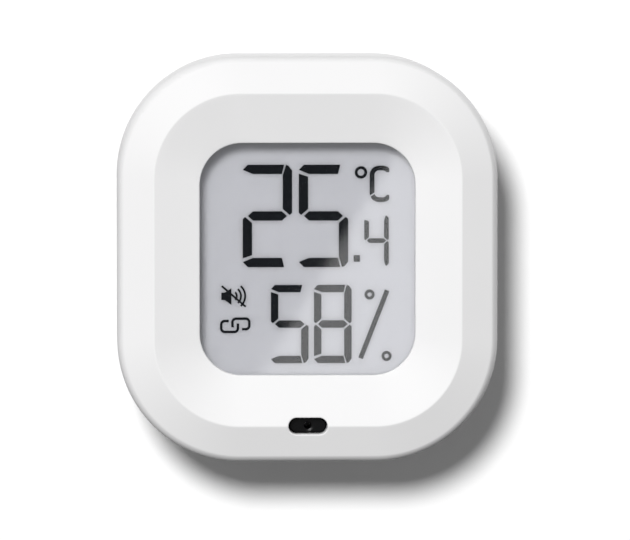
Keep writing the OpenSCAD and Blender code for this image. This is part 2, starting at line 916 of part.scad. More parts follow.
// Coin cell's positive can
module cell_can() {
    color([0.8, 0.8, 0.8])
        translate([0, cell_y, 0])
            difference() {
                union() {
                    translate([0, 0, cell_z])
                        cylinder(r1 = cell_r - 0.3, r2 = cell_r, h = 0.3);
                    disc(cell_r, cell_z + 0.3, cell_t - 0.7);
                }
                disc(cell_r - 1, cell_z + 0.3, cell_t);
            }
}

// Coin cell's insulating ring
module cell_gasket() {
    color([0.1, 0.1, 0.1])
        translate([0, cell_y, 0])
            difference() {
                disc(cell_r - 1, cell_z + 0.3, cell_t - 0.5);
                disc(cell_r - 1.4, cell_z, cell_t + 1);
            }
}

// Coin cell's negative cap
module cell_cap() {
    color([0.75, 0.75, 0.76])
        translate([0, cell_y, 0]) {
            disc(cell_r - 1.4, cell_z + 0.3, cell_t - 0.6);
            translate([0, 0, cell_top_z - 0.3])
                cylinder(r1 = cell_r - 1.4, r2 = cell_r - 1.7, h = 0.3);
        }
}

// Side spring on the can
module positive_contact() {
    color([0.8, 0.7, 0.4])
        translate([0, cell_y, 0]) {
            block(-cell_r - 0.02 - spring_t / 2, 0, spring_t, 3, ring_z + 0.3, board_z - ring_z - 0.3);
            block(-cell_r - 1.5, 0, 3, 3, board_z - spring_t, spring_t);
        }
}

// Leaf spring on the cap
module negative_contact() {
    zb = board_z;
    zc = cell_top_z + 0.02;
    t = spring_t;
    arm = [
        [0, zb], [0, zb - t], [1.2, zb - t], [4.2, zc], [5.4, zc], [6.4, zc + 0.25], [6.4, zc + 0.25 + t],
        [5.35, zc + t], [4.3, zc + t], [1.3, zb]
    ];
    color([0.8, 0.8, 0.78])
        translate([0, cell_y, 0])
            for (m = [0, 1])
                mirror([m, 0, 0])
                    rotate([90, 0, 0])
                        linear_extrude(3, center = true)
                            polygon(arm);
}

// Back pieces

// Rear shell with cell well, bayonet ring, screw bosses, keyhole pocket, button guide and sound holes
module rear_housing() {
    back = [for (i = [0 : 4])
        [rear_edge_r * (1 - cos(22.5 * i)), rear_edge_r * (1 - sin(22.5 * i))]];
    section = concat(
        [[wall, seam_z], [seam_chamfer, seam_z], [0, seam_z - seam_chamfer]],
        back,
        [[wall + 2, 0], [wall + 2, floor_t], [wall, floor_t]]
    );
    tongue = [
        [wall - 0.3, seam_z - 1.2], [wall, seam_z], [wall + tongue_gap, seam_z],
        [wall + tongue_gap, seam_z + tongue_h], [wall + tongue_gap + tongue_t, seam_z + tongue_h],
        [wall + tongue_gap + tongue_t, seam_z - 0.6], [wall, seam_z - 1.6]
    ];
    color([0.92, 0.92, 0.92])
        difference() {
            union() {
                difference() {
                    union() {
                        around_outline(section);
                        around_outline(tongue);
                        plate(body_w - 2 * wall - 2, body_h - 2 * wall - 2, corner_r - wall - 1, 0, floor_t);
                        translate([0, cell_y, 0])
                            disc(ring_r, 0, ring_z);
                        translate([0, cell_y, 0])
                            disc(well_r + well_t, 0, well_z);
                        block(0, key_y + key_mid, 2 * key_r + 2.4, key_len + 1.2, 0, floor_t + key_room + 1);
                        translate([button_x, button_y, 0])
                            disc(flange_r + 1, 0, flange_z + 1.6);
                    }
                    at_case_screws()
                        disc(front_boss_r + 0.25, seam_z, 5);
                    translate([0, cell_y, 0]) {
                        disc(recess_r, -1, 1 + door_back_z);
                        disc(bore_r, -1, 1 + step_z + eps);
                        disc(groove_r, step_z, groove_z - step_z);
                        disc(well_r, groove_z - eps, 10);
                        at_lugs(-door_turn)
                            sector(1, groove_r, door_back_z - eps, step_t + 2 * eps, -lug_half - 2, 2 * lug_half + 4);
                        block(-well_r - 0.6, 0, 2.6, 3.8, ring_z, 10);
                    }
                }
                at_case_screws()
                    disc(rear_boss_r, 0.5, seam_z - 0.5);
                translate([0, cell_y, 0]) {
                    at_lugs(lug_half + 1.5)
                        sector(bore_r + 0.1, groove_r + 0.3, step_z - 0.2, groove_z - step_z + 0.4, 0, 4);
                    at_lugs(-door_turn - lug_half - 5.5)
                        sector(bore_r + 0.1, groove_r + 0.3, step_z - 0.2, groove_z - step_z + 0.4, 0, 4);
                }
            }
            at_case_screws() {
                disc(screw_r + 0.2, -1, 10);
                disc(head_r + 0.15, -1, 1 + seat_z);
            }
            translate([0, key_y, 0]) {
                disc(key_r, -1, 2 + floor_t);
                block(0, key_rise / 2, 2 * key_slot_r, key_rise, -1, 2 + floor_t);
                translate([0, key_rise, 0])
                    disc(key_slot_r, -1, 2 + floor_t);
                block(0, key_mid, 2 * key_r + 0.4, key_len, floor_t, key_room);
            }
            translate([button_x, button_y, 0]) {
                disc(button_hole_r, -1, 10);
                disc(flange_r + 0.2, floor_t, 10);
            }
            for (i = [-1 : 1])
                translate([buzzer_x + 1.8 * i, buzzer_y, 0])
                    disc(0.5, -1, 4);
        }
}

// Round door: plate with a coin slot, skirt and bayonet lugs
module battery_door() {
    color([0.9, 0.9, 0.9])
        translate([0, cell_y, 0])
            difference() {
                union() {
                    translate([0, 0, door_sink])
                        cylinder(r1 = door_r - 0.3, r2 = door_r, h = 0.3);
                    disc(door_r, door_sink + 0.3, door_t - 0.3);
                    difference() {
                        disc(skirt_r, door_sink + 0.5, lug_z + lug_t - door_sink - 0.5);
                        disc(skirt_in_r, door_back_z, 10);
                    }
                    at_lugs(0)
                        sector(skirt_r - 0.2, lug_r, lug_z, lug_t, -lug_half, 2 * lug_half);
                }
                translate([0, 0, door_sink - 1])
                    linear_extrude(1 + coin_d)
                        stadium(coin_l, coin_w);
                translate([0, door_r - 2, 0])
                    disc(0.5, door_sink - 1, 1.3);
            }
}

// Screws

// Screw that points to the front, head back, with a crossed recess
module screw(r, hr, hh, seat, tip) {
    difference() {
        union() {
            translate([0, 0, seat - hh])
                cylinder(r1 = hr - 0.3, r2 = hr, h = 0.3);
            disc(hr, seat - hh + 0.3, hh - 0.3);
            disc(r, seat - 0.1, tip - seat - r / 2 + 0.1);
            translate([0, 0, tip - r / 2])
                cylinder(r1 = r, r2 = r / 2, h = r / 2);
        }
        block(0, 0, 1.2 * hr, 0.28 * hr, seat - hh - 1, 1 + 0.55 * hh);
        block(0, 0, 0.28 * hr, 1.2 * hr, seat - hh - 1, 1 + 0.55 * hh);
    }
}

// Four screws that join the housings
module case_screws() {
    color([0.6, 0.6, 0.62])
        at_case_screws()
            screw(screw_r, head_r, head_h, seat_z, screw_top_z);
}

// Two screws that hold the board
module board_screws() {
    color([0.6, 0.6, 0.62])
        at_board_screws()
            screw(board_screw_r, board_head_r, 0.9, board_z, screw_top_z);
}

// Drawing

upright() front_housing();
upright() display_window();
upright() window_adhesive();
upright() lcd_front_polariser();
upright() lcd_front_glass();
upright() lcd_segments();
upright() lcd_seal();
upright() lcd_rear_glass();
upright() lcd_reflector();
upright() lcd_frame();
upright() zebra_strip();
upright() main_board();
upright() radio_chip();
upright() crystal();
upright() board_antenna();
upright() board_passives();
upright() humidity_sensor();
upright() sensor_filter();
upright() sensor_boot();
upright() buzzer_case();
upright() buzzer_disc();
upright() switch_body();
upright() switch_cover();
upright() switch_plunger();
upright() pair_button();
upright() cell_can();
upright() cell_gasket();
upright() cell_cap();
upright() positive_contact();
upright() negative_contact();
upright() rear_housing();
upright() battery_door();
upright() case_screws();
upright() board_screws();
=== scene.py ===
"""Looks of a small wall and desk sensor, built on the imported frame: shells, display, back and stage."""

import json
from math import atan2, cos, hypot, pi, radians, sin, tan

import bmesh
import bpy
from bpy.props import FloatProperty, FloatVectorProperty, PointerProperty
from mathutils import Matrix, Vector


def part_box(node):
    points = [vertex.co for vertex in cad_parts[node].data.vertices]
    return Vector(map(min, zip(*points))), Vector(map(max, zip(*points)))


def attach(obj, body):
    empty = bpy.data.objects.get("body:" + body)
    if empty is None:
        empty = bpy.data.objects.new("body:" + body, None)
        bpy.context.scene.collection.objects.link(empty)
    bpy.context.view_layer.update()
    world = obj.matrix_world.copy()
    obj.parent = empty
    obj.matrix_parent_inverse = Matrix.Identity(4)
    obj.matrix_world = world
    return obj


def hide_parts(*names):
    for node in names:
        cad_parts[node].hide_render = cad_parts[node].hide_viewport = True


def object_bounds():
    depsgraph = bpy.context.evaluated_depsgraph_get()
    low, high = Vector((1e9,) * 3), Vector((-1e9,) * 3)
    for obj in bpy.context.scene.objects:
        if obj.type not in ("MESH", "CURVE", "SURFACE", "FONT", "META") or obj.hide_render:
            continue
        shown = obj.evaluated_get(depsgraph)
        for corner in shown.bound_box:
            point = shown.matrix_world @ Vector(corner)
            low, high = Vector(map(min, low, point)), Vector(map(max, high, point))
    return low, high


bl_info = {
    "name": "Room sensor",
    "version": (1, 0, 0),
    "blender": (4, 5, 0),
    "location": "View3D > Sidebar > Sensor",
    "description": "Builds the looks of a temperature and humidity sensor on its frame",
    "category": "Object",
}

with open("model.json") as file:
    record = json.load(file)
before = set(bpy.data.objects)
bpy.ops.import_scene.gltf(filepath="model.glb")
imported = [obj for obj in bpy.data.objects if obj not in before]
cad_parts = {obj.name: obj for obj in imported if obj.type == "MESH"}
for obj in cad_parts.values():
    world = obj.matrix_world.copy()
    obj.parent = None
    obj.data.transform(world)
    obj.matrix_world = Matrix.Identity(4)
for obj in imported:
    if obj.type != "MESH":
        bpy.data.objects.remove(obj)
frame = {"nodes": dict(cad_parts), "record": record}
CAD_LOW, CAD_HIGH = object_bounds()
BODY_W = CAD_HIGH.x - CAD_LOW.x
BODY_H = CAD_HIGH.z - CAD_LOW.z
BODY_T = CAD_HIGH.y - CAD_LOW.y
MIDDLE = (CAD_LOW + CAD_HIGH) / 2


# Places on the face: x to the right, y up from the middle, z from the back face to the front


def place(x, y, z):
    """A place on the face, as a point of the frame."""
    return Vector((x, CAD_HIGH.y - z, CAD_LOW.z + BODY_H / 2 + y))


def face_y(height):
    """A height in the frame, as y on the face."""
    return height - CAD_LOW.z - BODY_H / 2


def from_back(frame_y):
    """A y of the frame, as z from the back face."""
    return CAD_HIGH.y - frame_y


def back_z(node):
    """The level of a node's back."""
    return from_back(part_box(node)[1].y)


def front_z(node):
    """The level of a node's front."""
    return from_back(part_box(node)[0].y)


def node_width(node):
    """The width of a node's box."""
    low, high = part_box(node)
    return high.x - low.x


def face_middle(node):
    """The middle of a node's box, as x and y on the face."""
    low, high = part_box(node)
    return (low.x + high.x) / 2, face_y((low.z + high.z) / 2)


# Levels, read from the frame
SEAM_Z = back_z("front_housing")
WINDOW_Z = back_z("display_window")
LIP_BACK_Z = front_z("window_adhesive")
BOARD_Z = front_z("main_board")
BOOT_Z = front_z("sensor_boot")
DOOR_Z = back_z("battery_door")
BUTTON_Z = back_z("pair_button")

# Mesh fineness
ARC_STEPS = 44
RUN_STEPS = 14
ROUND_STEPS = 6
EDGE_STEPS = 12
DISH_STEPS = 10
BACK_STEPS = 10
LUG_STEPS = 12
CIRCLE_STEPS = 128
SMALL_STEPS = 64
SMOOTH_ANGLE = radians(32)
WELD = 0.0000004

# How far a cutter stands out of the face that it cuts
OVERCUT = 0.001

WHITE = (1.0, 1.0, 1.0, 1.0)


# Sizes and colours that a user can change


def length(name, description, default):
    """A length."""
    return FloatProperty(
        name=name, description=description, default=default, precision=5, subtype="DISTANCE", unit="LENGTH"
    )


def angle(name, description, default):
    """An angle, given in degrees."""
    return FloatProperty(
        name=name, description=description, default=radians(default), subtype="ANGLE", unit="ROTATION"
    )


def amount(name, description, default):
    """A plain number."""
    return FloatProperty(name=name, description=description, default=default)


def colour(name, description, default):
    """A linear colour."""
    return FloatVectorProperty(name=name, description=description, default=default, size=3, subtype="COLOR")


class ShellSizes(bpy.types.PropertyGroup):
    corner_radius: length("Corner radius", "Corner radius of the outline", 0.0145)
    wall: length("Wall", "Side wall thickness", 0.0016)
    skin: length("Skin", "Thickness of the face", 0.0014)
    floor: length("Floor", "Thickness of the back wall", 0.0016)
    seam_soft: length("Seam softening", "Chamfer on both sides of the seam", 0.0002)
    rear_round: length("Rear rounding", "Rounding of the back edge", 0.0012)
    edge_radius: length("Edge radius", "Radius of the rounded front edge", 0.00165)
    edge_turn: angle("Edge turn", "Turn of the rounded front edge", 55)
    bevel_width: length("Bevel width", "Width of the outer bevel", 0.00365)
    bevel_rise: length("Bevel rise", "Rise of the outer bevel", 0.00145)
    bevel_soft: length("Bevel softening", "Softening of the bevel's outer corner", 0.00022)
    crest_flat: length("Crest flat", "Width of the flat under the rounded crest", 0.00012)
    crest_soft: length("Crest softening", "Reach of the rounding on each side of the crest", 0.00014)
    dish_fall: length("Dish fall", "Fall of the dish from the crest to the opening", 0.0019)
    rim_x: length("Side rim", "Face width at each side of the display opening", 0.00975)
    rim_y: length("End rim", "Face height above and below the display opening", 0.01025)
    view_radius: length("Opening radius", "Corner radius of the display opening", 0.005)
    lip_soft: length("Lip softening", "Rounding of the lip round the display opening", 0.00015)
    window_lap: length("Window lap", "Overlap of the window behind the lip", 0.0021)
    rib: length("Rib", "Thickness of the rib round the window", 0.0011)
    slot_width: length("Slot width", "Width of the sensor slot", 0.0046)
    slot_height: length("Slot height", "Height of the sensor slot", 0.00195)
    slot_soft: length("Slot softening", "Rounding of the slot's edge", 0.00022)
    collar: length("Collar", "Wall of the collar behind the slot", 0.0012)
    collar_depth: length("Collar depth", "Depth of the collar below the crest", 0.0034)
    nozzle_gap: length("Nozzle gap", "Gap round the boot's nozzle", 0.00015)
    nozzle_soft: length("Nozzle softening", "Rounding of the nozzle's edge", 0.00012)
    port_radius: length("Port radius", "Radius of the air port", 0.00042)
    port_soft: length("Port softening", "Rounding of the air port's edge", 0.00006)
    port_dish: length("Port dish", "Width of the shallow dish round the air port", 0.00034)
    port_slope: angle("Port slope", "Slope of the shallow dish round the air port", 10)


class BackSizes(bpy.types.PropertyGroup):
    hole_soft: length("Hole softening", "Rounding of the edges of the back's openings", 0.00018)
    door_gap: length("Door gap", "Gap round the battery door", 0.0002)
    door_thick: length("Door thickness", "Thickness of the battery door", 0.0013)
    door_soft: length("Door softening", "Rounding of the door's edge", 0.0003)
    skirt_radius: length("Skirt radius", "Outer radius of the door's skirt", 0.01285)
    skirt_wall: length("Skirt wall", "Thickness of the door's skirt", 0.00045)
    lug_reach: length("Lug reach", "Reach of the bayonet lugs", 0.0011)
    lug_thick: length("Lug thickness", "Thickness of the bayonet lugs", 0.0009)
    lug_half: angle("Lug half angle", "Half of the angle that a lug takes", 12)
    step_thick: length("Step thickness", "Thickness of the step above the lugs", 0.0009)
    lug_gap: length("Lug gap", "Clearance above and below the lugs", 0.0001)
    seat_gap: length("Seat gap", "Hairline between the door and its seat", 0.00002)
    coin_length: length("Coin slot length", "Length of the coin slot", 0.015)
    coin_width: length("Coin slot width", "Width of the coin slot", 0.0022)
    coin_depth: length("Coin slot depth", "Depth of the coin slot", 0.00075)
    dot_radius: length("Dot radius", "Radius of the door's index dot", 0.0005)
    well_radius: length("Well radius", "Inner radius of the cell well", 0.01255)
    well_wall: length("Well wall", "Wall of the cell well", 0.0012)
    button_radius: length("Button radius", "Radius of the pairing button", 0.002)
    button_gap: length("Button gap", "Clearance round the button", 0.0002)
    button_soft: length("Button softening", "Rounding of the button's edge", 0.00028)
    head_radius: length("Screw head radius", "Radius of the case screws' heads", 0.0018)
    head_gap: length("Screw head gap", "Clearance round the screw heads", 0.00015)
    head_seat: length("Screw seat", "Depth of the seats of the screw heads", 0.0025)
    shank_radius: length("Shank hole", "Radius of the holes for the screw shanks", 0.00115)
    screw_radius: length("Screw shank", "Radius of the case screws' shanks", 0.00095)
    head_soft: length("Screw head rounding", "Reach of the rounding on the screw heads", 0.0008)
    cross_reach: length("Recess reach", "Reach of the crossed recess from its middle", 0.00112)
    cross_half: length("Recess half width", "Half of the width of an arm of the crossed recess", 0.00025)
    cross_depth: length("Recess depth", "Depth of the crossed recess", 0.0008)
    key_radius: length("Keyhole radius", "Radius of the keyhole's entry", 0.0032)
    key_slot: length("Keyhole slot", "Half width of the keyhole's slot", 0.0016)
    key_rise: length("Keyhole rise", "Rise of the keyhole's slot", 0.0039)
    key_room: length("Keyhole room", "Room behind the keyhole", 0.003)
    sound_radius: length("Sound hole radius", "Radius of a sound hole", 0.0005)
    sound_pitch: length("Sound hole pitch", "Distance between the sound holes", 0.0018)


class FinishColours(bpy.types.PropertyGroup):
    shell: colour("Shell", "White satin moulding", (0.813, 0.811, 0.814))
    reflector: colour("Reflector", "Grey film behind the display", (0.551, 0.545, 0.583))
    ink: colour("Segments", "Dark display segments", (0.006, 0.007, 0.009))
    seal: colour("Seal", "Cured seal between the panes", (0.4, 0.4, 0.37))
    boot: colour("Boot", "Soft black boot in the slot", (0.002, 0.002, 0.0023))
    tape: colour("Tape", "Foam tape round the window", (0.015, 0.015, 0.017))
    board: colour("Board", "Solder resist", (0.02, 0.11, 0.05))
    steel: colour("Steel", "Plated steel", (0.58, 0.58, 0.6))
    zinc: colour("Zinc", "Zinc plated screws", (0.46, 0.46, 0.48))
    brass: colour("Brass", "Brass spring and disc", (0.62, 0.42, 0.16))
    copper: colour("Copper", "Bare copper track", (0.66, 0.33, 0.16))
    resin: colour("Resin", "Black moulded chip cases", (0.018, 0.018, 0.02))
    ceramic: colour("Ceramic", "Fired small parts", (0.30, 0.19, 0.11))
    membrane: colour("Membrane", "Porous dust membrane", (0.72, 0.72, 0.72))


class StageSettings(bpy.types.PropertyGroup):
    view_azimuth: angle("View azimuth", "Camera to the right of the face's axis", -1.8)
    view_height: angle("View height", "Camera above the face's axis", 3.35)
    view_distance: length("View distance", "Camera to the middle of the object", 0.8)
    view_width: length("View width", "Width that the camera sees at the object", 0.075)
    aim_x: length("Aim sideways", "Middle of the picture, from the middle of the object", 0.00107)
    aim_y: length("Aim upwards", "Middle of the picture, from the middle of the object", -0.00163)
    key_power: amount("Key power", "Power of the soft key lamp in watts", 31.4)
    rear_power: amount("Rear power", "Power of the two soft lamps behind in watts", 36.5)
    ambient: amount("Ambient", "Strength of the soft light from all round", 0.178)
    lean: amount("Lean", "How far the soft light leans to the upper left, from 0 to 1", 0.6)
    card_glow: amount("Card glow", "Brightness of the card that the window mirrors", 2.4)
    card_slant: angle("Card slant", "Slant of the edge on that card", 31.5)


# Outlines and profiles


def steps_to(end, steps):
    """Even steps from 0 to an end."""
    return [end * i / steps for i in range(steps + 1)]


QUARTER = steps_to(pi / 2, ROUND_STEPS)
SHARES = steps_to(1.0, ROUND_STEPS)


def between(start, end, share):
    """The point at a share of the way from one point to another."""
    return start[0] + share * (end[0] - start[0]), start[1] + share * (end[1] - start[1])


def bend(start, corner, end, t):
    """The point at t on the curve that rounds a corner off."""
    return (1 - t) ** 2 * start + 2 * t * (1 - t) * corner + t * t * end


def on_circle(mx, my, radius, a):
    """The point of a circle at an angle."""
    return mx + radius * cos(a), my + radius * sin(a)


def circle(mx, my, radius, steps=CIRCLE_STEPS):
    """Points round a circle."""
    return [on_circle(mx, my, radius, 2 * pi * i / steps) for i in range(steps)]


def rounded_rect(width, height, radius):
    """Points round a rounded rectangle about the middle, always as many and in the same order."""
    reach_x = width / 2 - radius
    reach_y = height / 2 - radius
    corners = [(reach_x, reach_y), (-reach_x, reach_y), (-reach_x, -reach_y), (reach_x, -reach_y)]
    points = []
    for q, corner in enumerate(corners):
        turns = [(q + i / ARC_STEPS) * pi / 2 for i in range(ARC_STEPS + 1)]
        points += [on_circle(*corner, radius, a) for a in turns]
        start = points[-1]
        end = on_circle(*corners[(q + 1) % 4], radius, (q + 1) * pi / 2)
        points += [between(start, end, i / RUN_STEPS) for i in range(1, RUN_STEPS)]
    return points


def body_outline(s, u):
    """The body's outline, moved in by u."""
    return rounded_rect(BODY_W - 2 * u, BODY_H - 2 * u, s.corner_radius - u)


def stadium(mx, my, width, height, steps=SMALL_STEPS):
    """Points round a stadium whose longer way runs along x, or along y where the height is the longer."""
    upright = height > width
    long, short = max(width, height), min(width, height)
    reach = (long - short) / 2
    points = []
    for i in range(steps):
        a = 2 * pi * (i + 0.5) / steps
        u = (reach if cos(a) > 0 else -reach) + short / 2 * cos(a)
        v = short / 2 * sin(a)
        points.append((mx - v, my + u) if upright else (mx + u, my + v))
    return points


def soften(path, reach):
    """A path with its corners rounded; reach says how far each rounding goes, with 0 at the ends."""
    points = []
    for i, point in enumerate(path):
        if reach[i] == 0:
            points.append(point)
            continue
        corner = Vector(point)
        start = corner + (Vector(path[i - 1]) - corner).normalized() * reach[i]
        end = corner + (Vector(path[i + 1]) - corner).normalized() * reach[i]
        points += [tuple(bend(start, corner, end, t)) for t in SHARES]
    return points


def along(path, u):
    """The height of a path of (u, z) points at u, where u rises along it."""
    for (u0, z0), (u1, z1) in zip(path, path[1:]):
        if u0 <= u <= u1 and u1 > u0:
            return z0 + (z1 - z0) * (u - u0) / (u1 - u0)
    return path[-1][1]


# Meshes


def add_object(name, data):
    """A new object in the scene."""
    made = bpy.data.objects.new(name, data)
    bpy.context.scene.collection.objects.link(made)
    return made


def mesh_object(name, bm):
    """A new object from a mesh in the making."""
    mesh = bpy.data.meshes.new(name)
    bm.to_mesh(mesh)
    bm.free()
    return add_object(name, mesh)


def piece(name, bm):
    """A new object with its faces turned outwards."""
    bmesh.ops.recalc_face_normals(bm, faces=bm.faces)
    return mesh_object(name, bm)


def ring(bm, points, z):
    """A ring of vertices; z is one height, or one for each point."""
    heights = z if isinstance(z, list) else [z] * len(points)
    return [bm.verts.new(place(x, y, h)) for (x, y), h in zip(points, heights)]


def skin(bm, rings, closed=False):
    """Faces between rings. A ring of one vertex is a pole."""
    pairs = list(zip(rings, rings[1:]))
    if closed:
        pairs.append((rings[-1], rings[0]))
    for a, b in pairs:
        count = max(len(a), len(b))
        for i in range(count):
            j = (i + 1) % count
            corners = [a[i % len(a)], a[j % len(a)], b[j % len(b)], b[i % len(b)]]
            unique = list(dict.fromkeys(corners))
            if len(unique) > 2:
                bm.faces.new(unique)


def capped(name, bm, rings):
    """A closed solid from rings, with flat caps."""
    skin(bm, rings)
    bm.faces.new(rings[0])
    bm.faces.new(rings[-1])
    return piece(name, bm)


def stack(name, levels):
    """A closed solid from (outline, z) levels."""
    bm = bmesh.new()
    return capped(name, bm, [ring(bm, outline, z) for outline, z in levels])


def turned(name, mx, my, profile, steps=CIRCLE_STEPS):
    """A closed solid turned about an axis through the face, from (radius, z) points from axis to axis."""
    bm = bmesh.new()
    rings = []
    for radius, z in profile:
        points = circle(mx, my, radius, steps) if radius > 0 else [(mx, my)]
        rings.append(ring(bm, points, z))
    skin(bm, rings)
    return piece(name, bm)


def post(name, mx, my, radius, z0, z1):
    """A plain round post, or the cutter of a plain hole."""
    return turned(name, mx, my, [(0.0, z0), (radius, z0), (radius, z1), (0.0, z1)], SMALL_STEPS)


def block(name, mx, my, width, height, z0, z1):
    """A plain box."""
    x0, x1, y0, y1 = mx - width / 2, mx + width / 2, my - height / 2, my + height / 2
    outline = [(x0, y0), (x1, y0), (x1, y1), (x0, y1)]
    return stack(name, [(outline, z0), (outline, z1)])


def sector(name, mx, my, inner, outer, z0, z1, start, end):
    """A piece of a ring about an axis, between two angles."""
    turns = [start + a for a in steps_to(end - start, LUG_STEPS)]
    outline = [on_circle(mx, my, outer, a) for a in turns]
    outline += [on_circle(mx, my, inner, a) for a in reversed(turns)]
    return stack(name, [(outline, z0), (outline, z1)])


def flare_levels(surface, soft, depth, base=0.0):
    """(growth, z) levels of a cutter with a rounded mouth at a surface that looks to the back."""
    levels = [(soft, surface - OVERCUT)]
    levels += [(soft * (1 - sin(a)), surface + soft * (1 - cos(a))) for a in QUARTER]
    if base == 0:
        return levels + [(0.0, surface + depth)]
    return levels + [(base * (cos(a) - 1), surface + depth - base * (1 - sin(a))) for a in QUARTER]


def bore(name, mx, my, radius, soft, depth, steps=SMALL_STEPS):
    """A round cutter with a rounded mouth at the back face."""
    levels = flare_levels(0.0, soft, depth)
    return stack(name, [(circle(mx, my, radius + g, steps), z) for g, z in levels])


def groove(name, mx, my, width, height, surface, soft, depth, base=0.0):
    """A stadium cutter with a rounded mouth at a surface that looks to the back."""
    levels = flare_levels(surface, soft, depth, base)
    return stack(name, [(stadium(mx, my, width + 2 * g, height + 2 * g), z) for g, z in levels])


def stepped_hole(name, middle, radius, soft, depth, inside, steps=SMALL_STEPS):
    """A turned cutter with a rounded mouth at the back face and (radius, z) points of its own further in."""
    mouth = [(radius + g, z) for g, z in flare_levels(0.0, soft, depth)]
    profile = [(0.0, mouth[0][1])] + mouth + inside + [(0.0, inside[-1][1])]
    return turned(name, *middle, profile, steps)


def settle(made):
    """Turns an object's modifiers into mesh."""
    graph = bpy.context.evaluated_depsgraph_get()
    mesh = bpy.data.meshes.new_from_object(made.evaluated_get(graph))
    made.modifiers.clear()
    old = made.data
    made.data = mesh
    bpy.data.meshes.remove(old)


def shape(made, operation, tools):
    """Joins the tools to an object or cuts them from it, one after the other, and deletes them."""
    for tool in tools:
        step = made.modifiers.new(tool.name, "BOOLEAN")
        step.operation = operation
        step.solver = "EXACT"
        step.material_mode = "TRANSFER"
        step.object = tool
        settle(made)
        mesh = tool.data
        bpy.data.objects.remove(tool)
        bpy.data.meshes.remove(mesh)


def dress(made, body, slot, *nodes):
    """Smooths a finished piece, gives it its material and sets it in the frame."""
    mesh = made.data
    mesh.name = made.name
    bm = bmesh.new()
    bm.from_mesh(mesh)
    bmesh.ops.remove_doubles(bm, verts=bm.verts, dist=WELD)
    bmesh.ops.dissolve_degenerate(bm, edges=bm.edges, dist=WELD)
    bm.to_mesh(mesh)
    bm.free()
    mesh.materials.clear()
    mesh.materials.append(finish(slot))
    for face in mesh.polygons:
        face.material_index = 0
        face.use_smooth = True
    mesh.set_sharp_from_angle(angle=SMOOTH_ANGLE)
    weighted = made.modifiers.new("flat faces first", "WEIGHTED_NORMAL")
    weighted.keep_sharp = True
    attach(made, body)
    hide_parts(*nodes)


# Shader nodes


def feed(node, values):
    """Gives a node's inputs, by label or number, a constant each or a link from another socket."""
    for label, value in values.items():
        if isinstance(value, bpy.types.NodeSocket):
            node.id_data.links.new(value, node.inputs[label])
        else:
            node.inputs[label].default_value = value


def add(tree, kind, values=None, **settings):
    """A new node with its settings made and its inputs fed."""
    node = tree.nodes.new(kind)
    for name, value in settings.items():
        setattr(node, name, value)
    feed(node, values or {})
    return node


def object_coordinates(tree):
    """Object coordinates, which follow the frame in metres."""
    return add(tree, "ShaderNodeTexCoord").outputs["Object"]


def noise(tree, where, scale, detail=2.0):
    """A noise texture over the given coordinates."""
    values = {"Vector": where, "Scale": scale, "Detail": detail}
    return add(tree, "ShaderNodeTexNoise", values).outputs["Fac"]


def spread(tree, value, low, high, start=0.3, end=0.7):
    """Maps a value to another range; the default start and end suit noise."""
    values = {"Value": value, "From Min": start, "From Max": end, "To Min": low, "To Max": high}
    return add(tree, "ShaderNodeMapRange", values).outputs["Result"]


def distance_along(tree, where, direction):
    """How far coordinates lie along a direction."""
    node = add(tree, "ShaderNodeVectorMath", {0: where, 1: direction}, operation="DOT_PRODUCT")
    return node.outputs["Value"]


def either(tree, first, second):
    """The larger of two masks."""
    return add(tree, "ShaderNodeMath", {0: first, 1: second}, operation="MAXIMUM").outputs["Value"]


def end_in_mix(tree, output, share, first, second):
    """Ends a tree in a mix of two shaders."""
    mix = add(tree, "ShaderNodeMixShader", {"Fac": share, 1: first, 2: second})
    feed(tree.nodes[output], {"Surface": mix.outputs["Shader"]})


# Shader groups

SURFACE_INPUTS = [
    ("Color", "NodeSocketColor", (0.8, 0.8, 0.8, 1.0)),
    ("Grain Scale", "NodeSocketFloat", 6000.0),
    ("Patch Scale", "NodeSocketFloat", 90.0),
    ("Rough Low", "NodeSocketFloat", 0.35),
    ("Rough High", "NodeSocketFloat", 0.45),
    ("Shade Low", "NodeSocketFloat", 0.98),
]
SURFACE_OUTPUTS = [
    ("Color", "NodeSocketColor"),
    ("Roughness", "NodeSocketFloat"),
    ("Height", "NodeSocketFloat"),
]
DRAWN_STRETCH = (1.0, 1.0, 0.06)
TRACK_WIDTH = 0.12
TRACK_SOFT = 0.2
BLACK = (0.0, 0.0, 0.0, 1.0)


def surface_group(name, pattern):
    """A shader group that makes colour, roughness and height from a pattern's values.

    A pattern gives a slow value for the gloss, a value for the shade, and a value for the height.
    """
    tree = bpy.data.node_groups.new(name, "ShaderNodeTree")
    for label, kind, default in SURFACE_INPUTS:
        tree.interface.new_socket(label, in_out="INPUT", socket_type=kind).default_value = default
    for label, kind in SURFACE_OUTPUTS:
        tree.interface.new_socket(label, in_out="OUTPUT", socket_type=kind)
    given = tree.nodes.new("NodeGroupInput").outputs
    patch, shade, height = pattern(tree, given)
    dimmed = add(
        tree,
        "ShaderNodeMix",
        {"Factor": 1.0, "A": given["Color"], "B": shade},
        data_type="RGBA",
        blend_type="MULTIPLY",
    )
    feed(tree.nodes.new("NodeGroupOutput"), {
        "Color": dimmed.outputs["Result"],
        "Roughness": spread(tree, patch, given["Rough Low"], given["Rough High"]),
        "Height": height,
    })
    return tree


def moulded_grain(tree, given):
    """Fine eroded grain of a mould, with slow changes of gloss and shade."""
    where = object_coordinates(tree)
    patch = noise(tree, where, given["Patch Scale"], 3.0)
    return patch, spread(tree, patch, given["Shade Low"], 1.0), noise(tree, where, given["Grain Scale"])


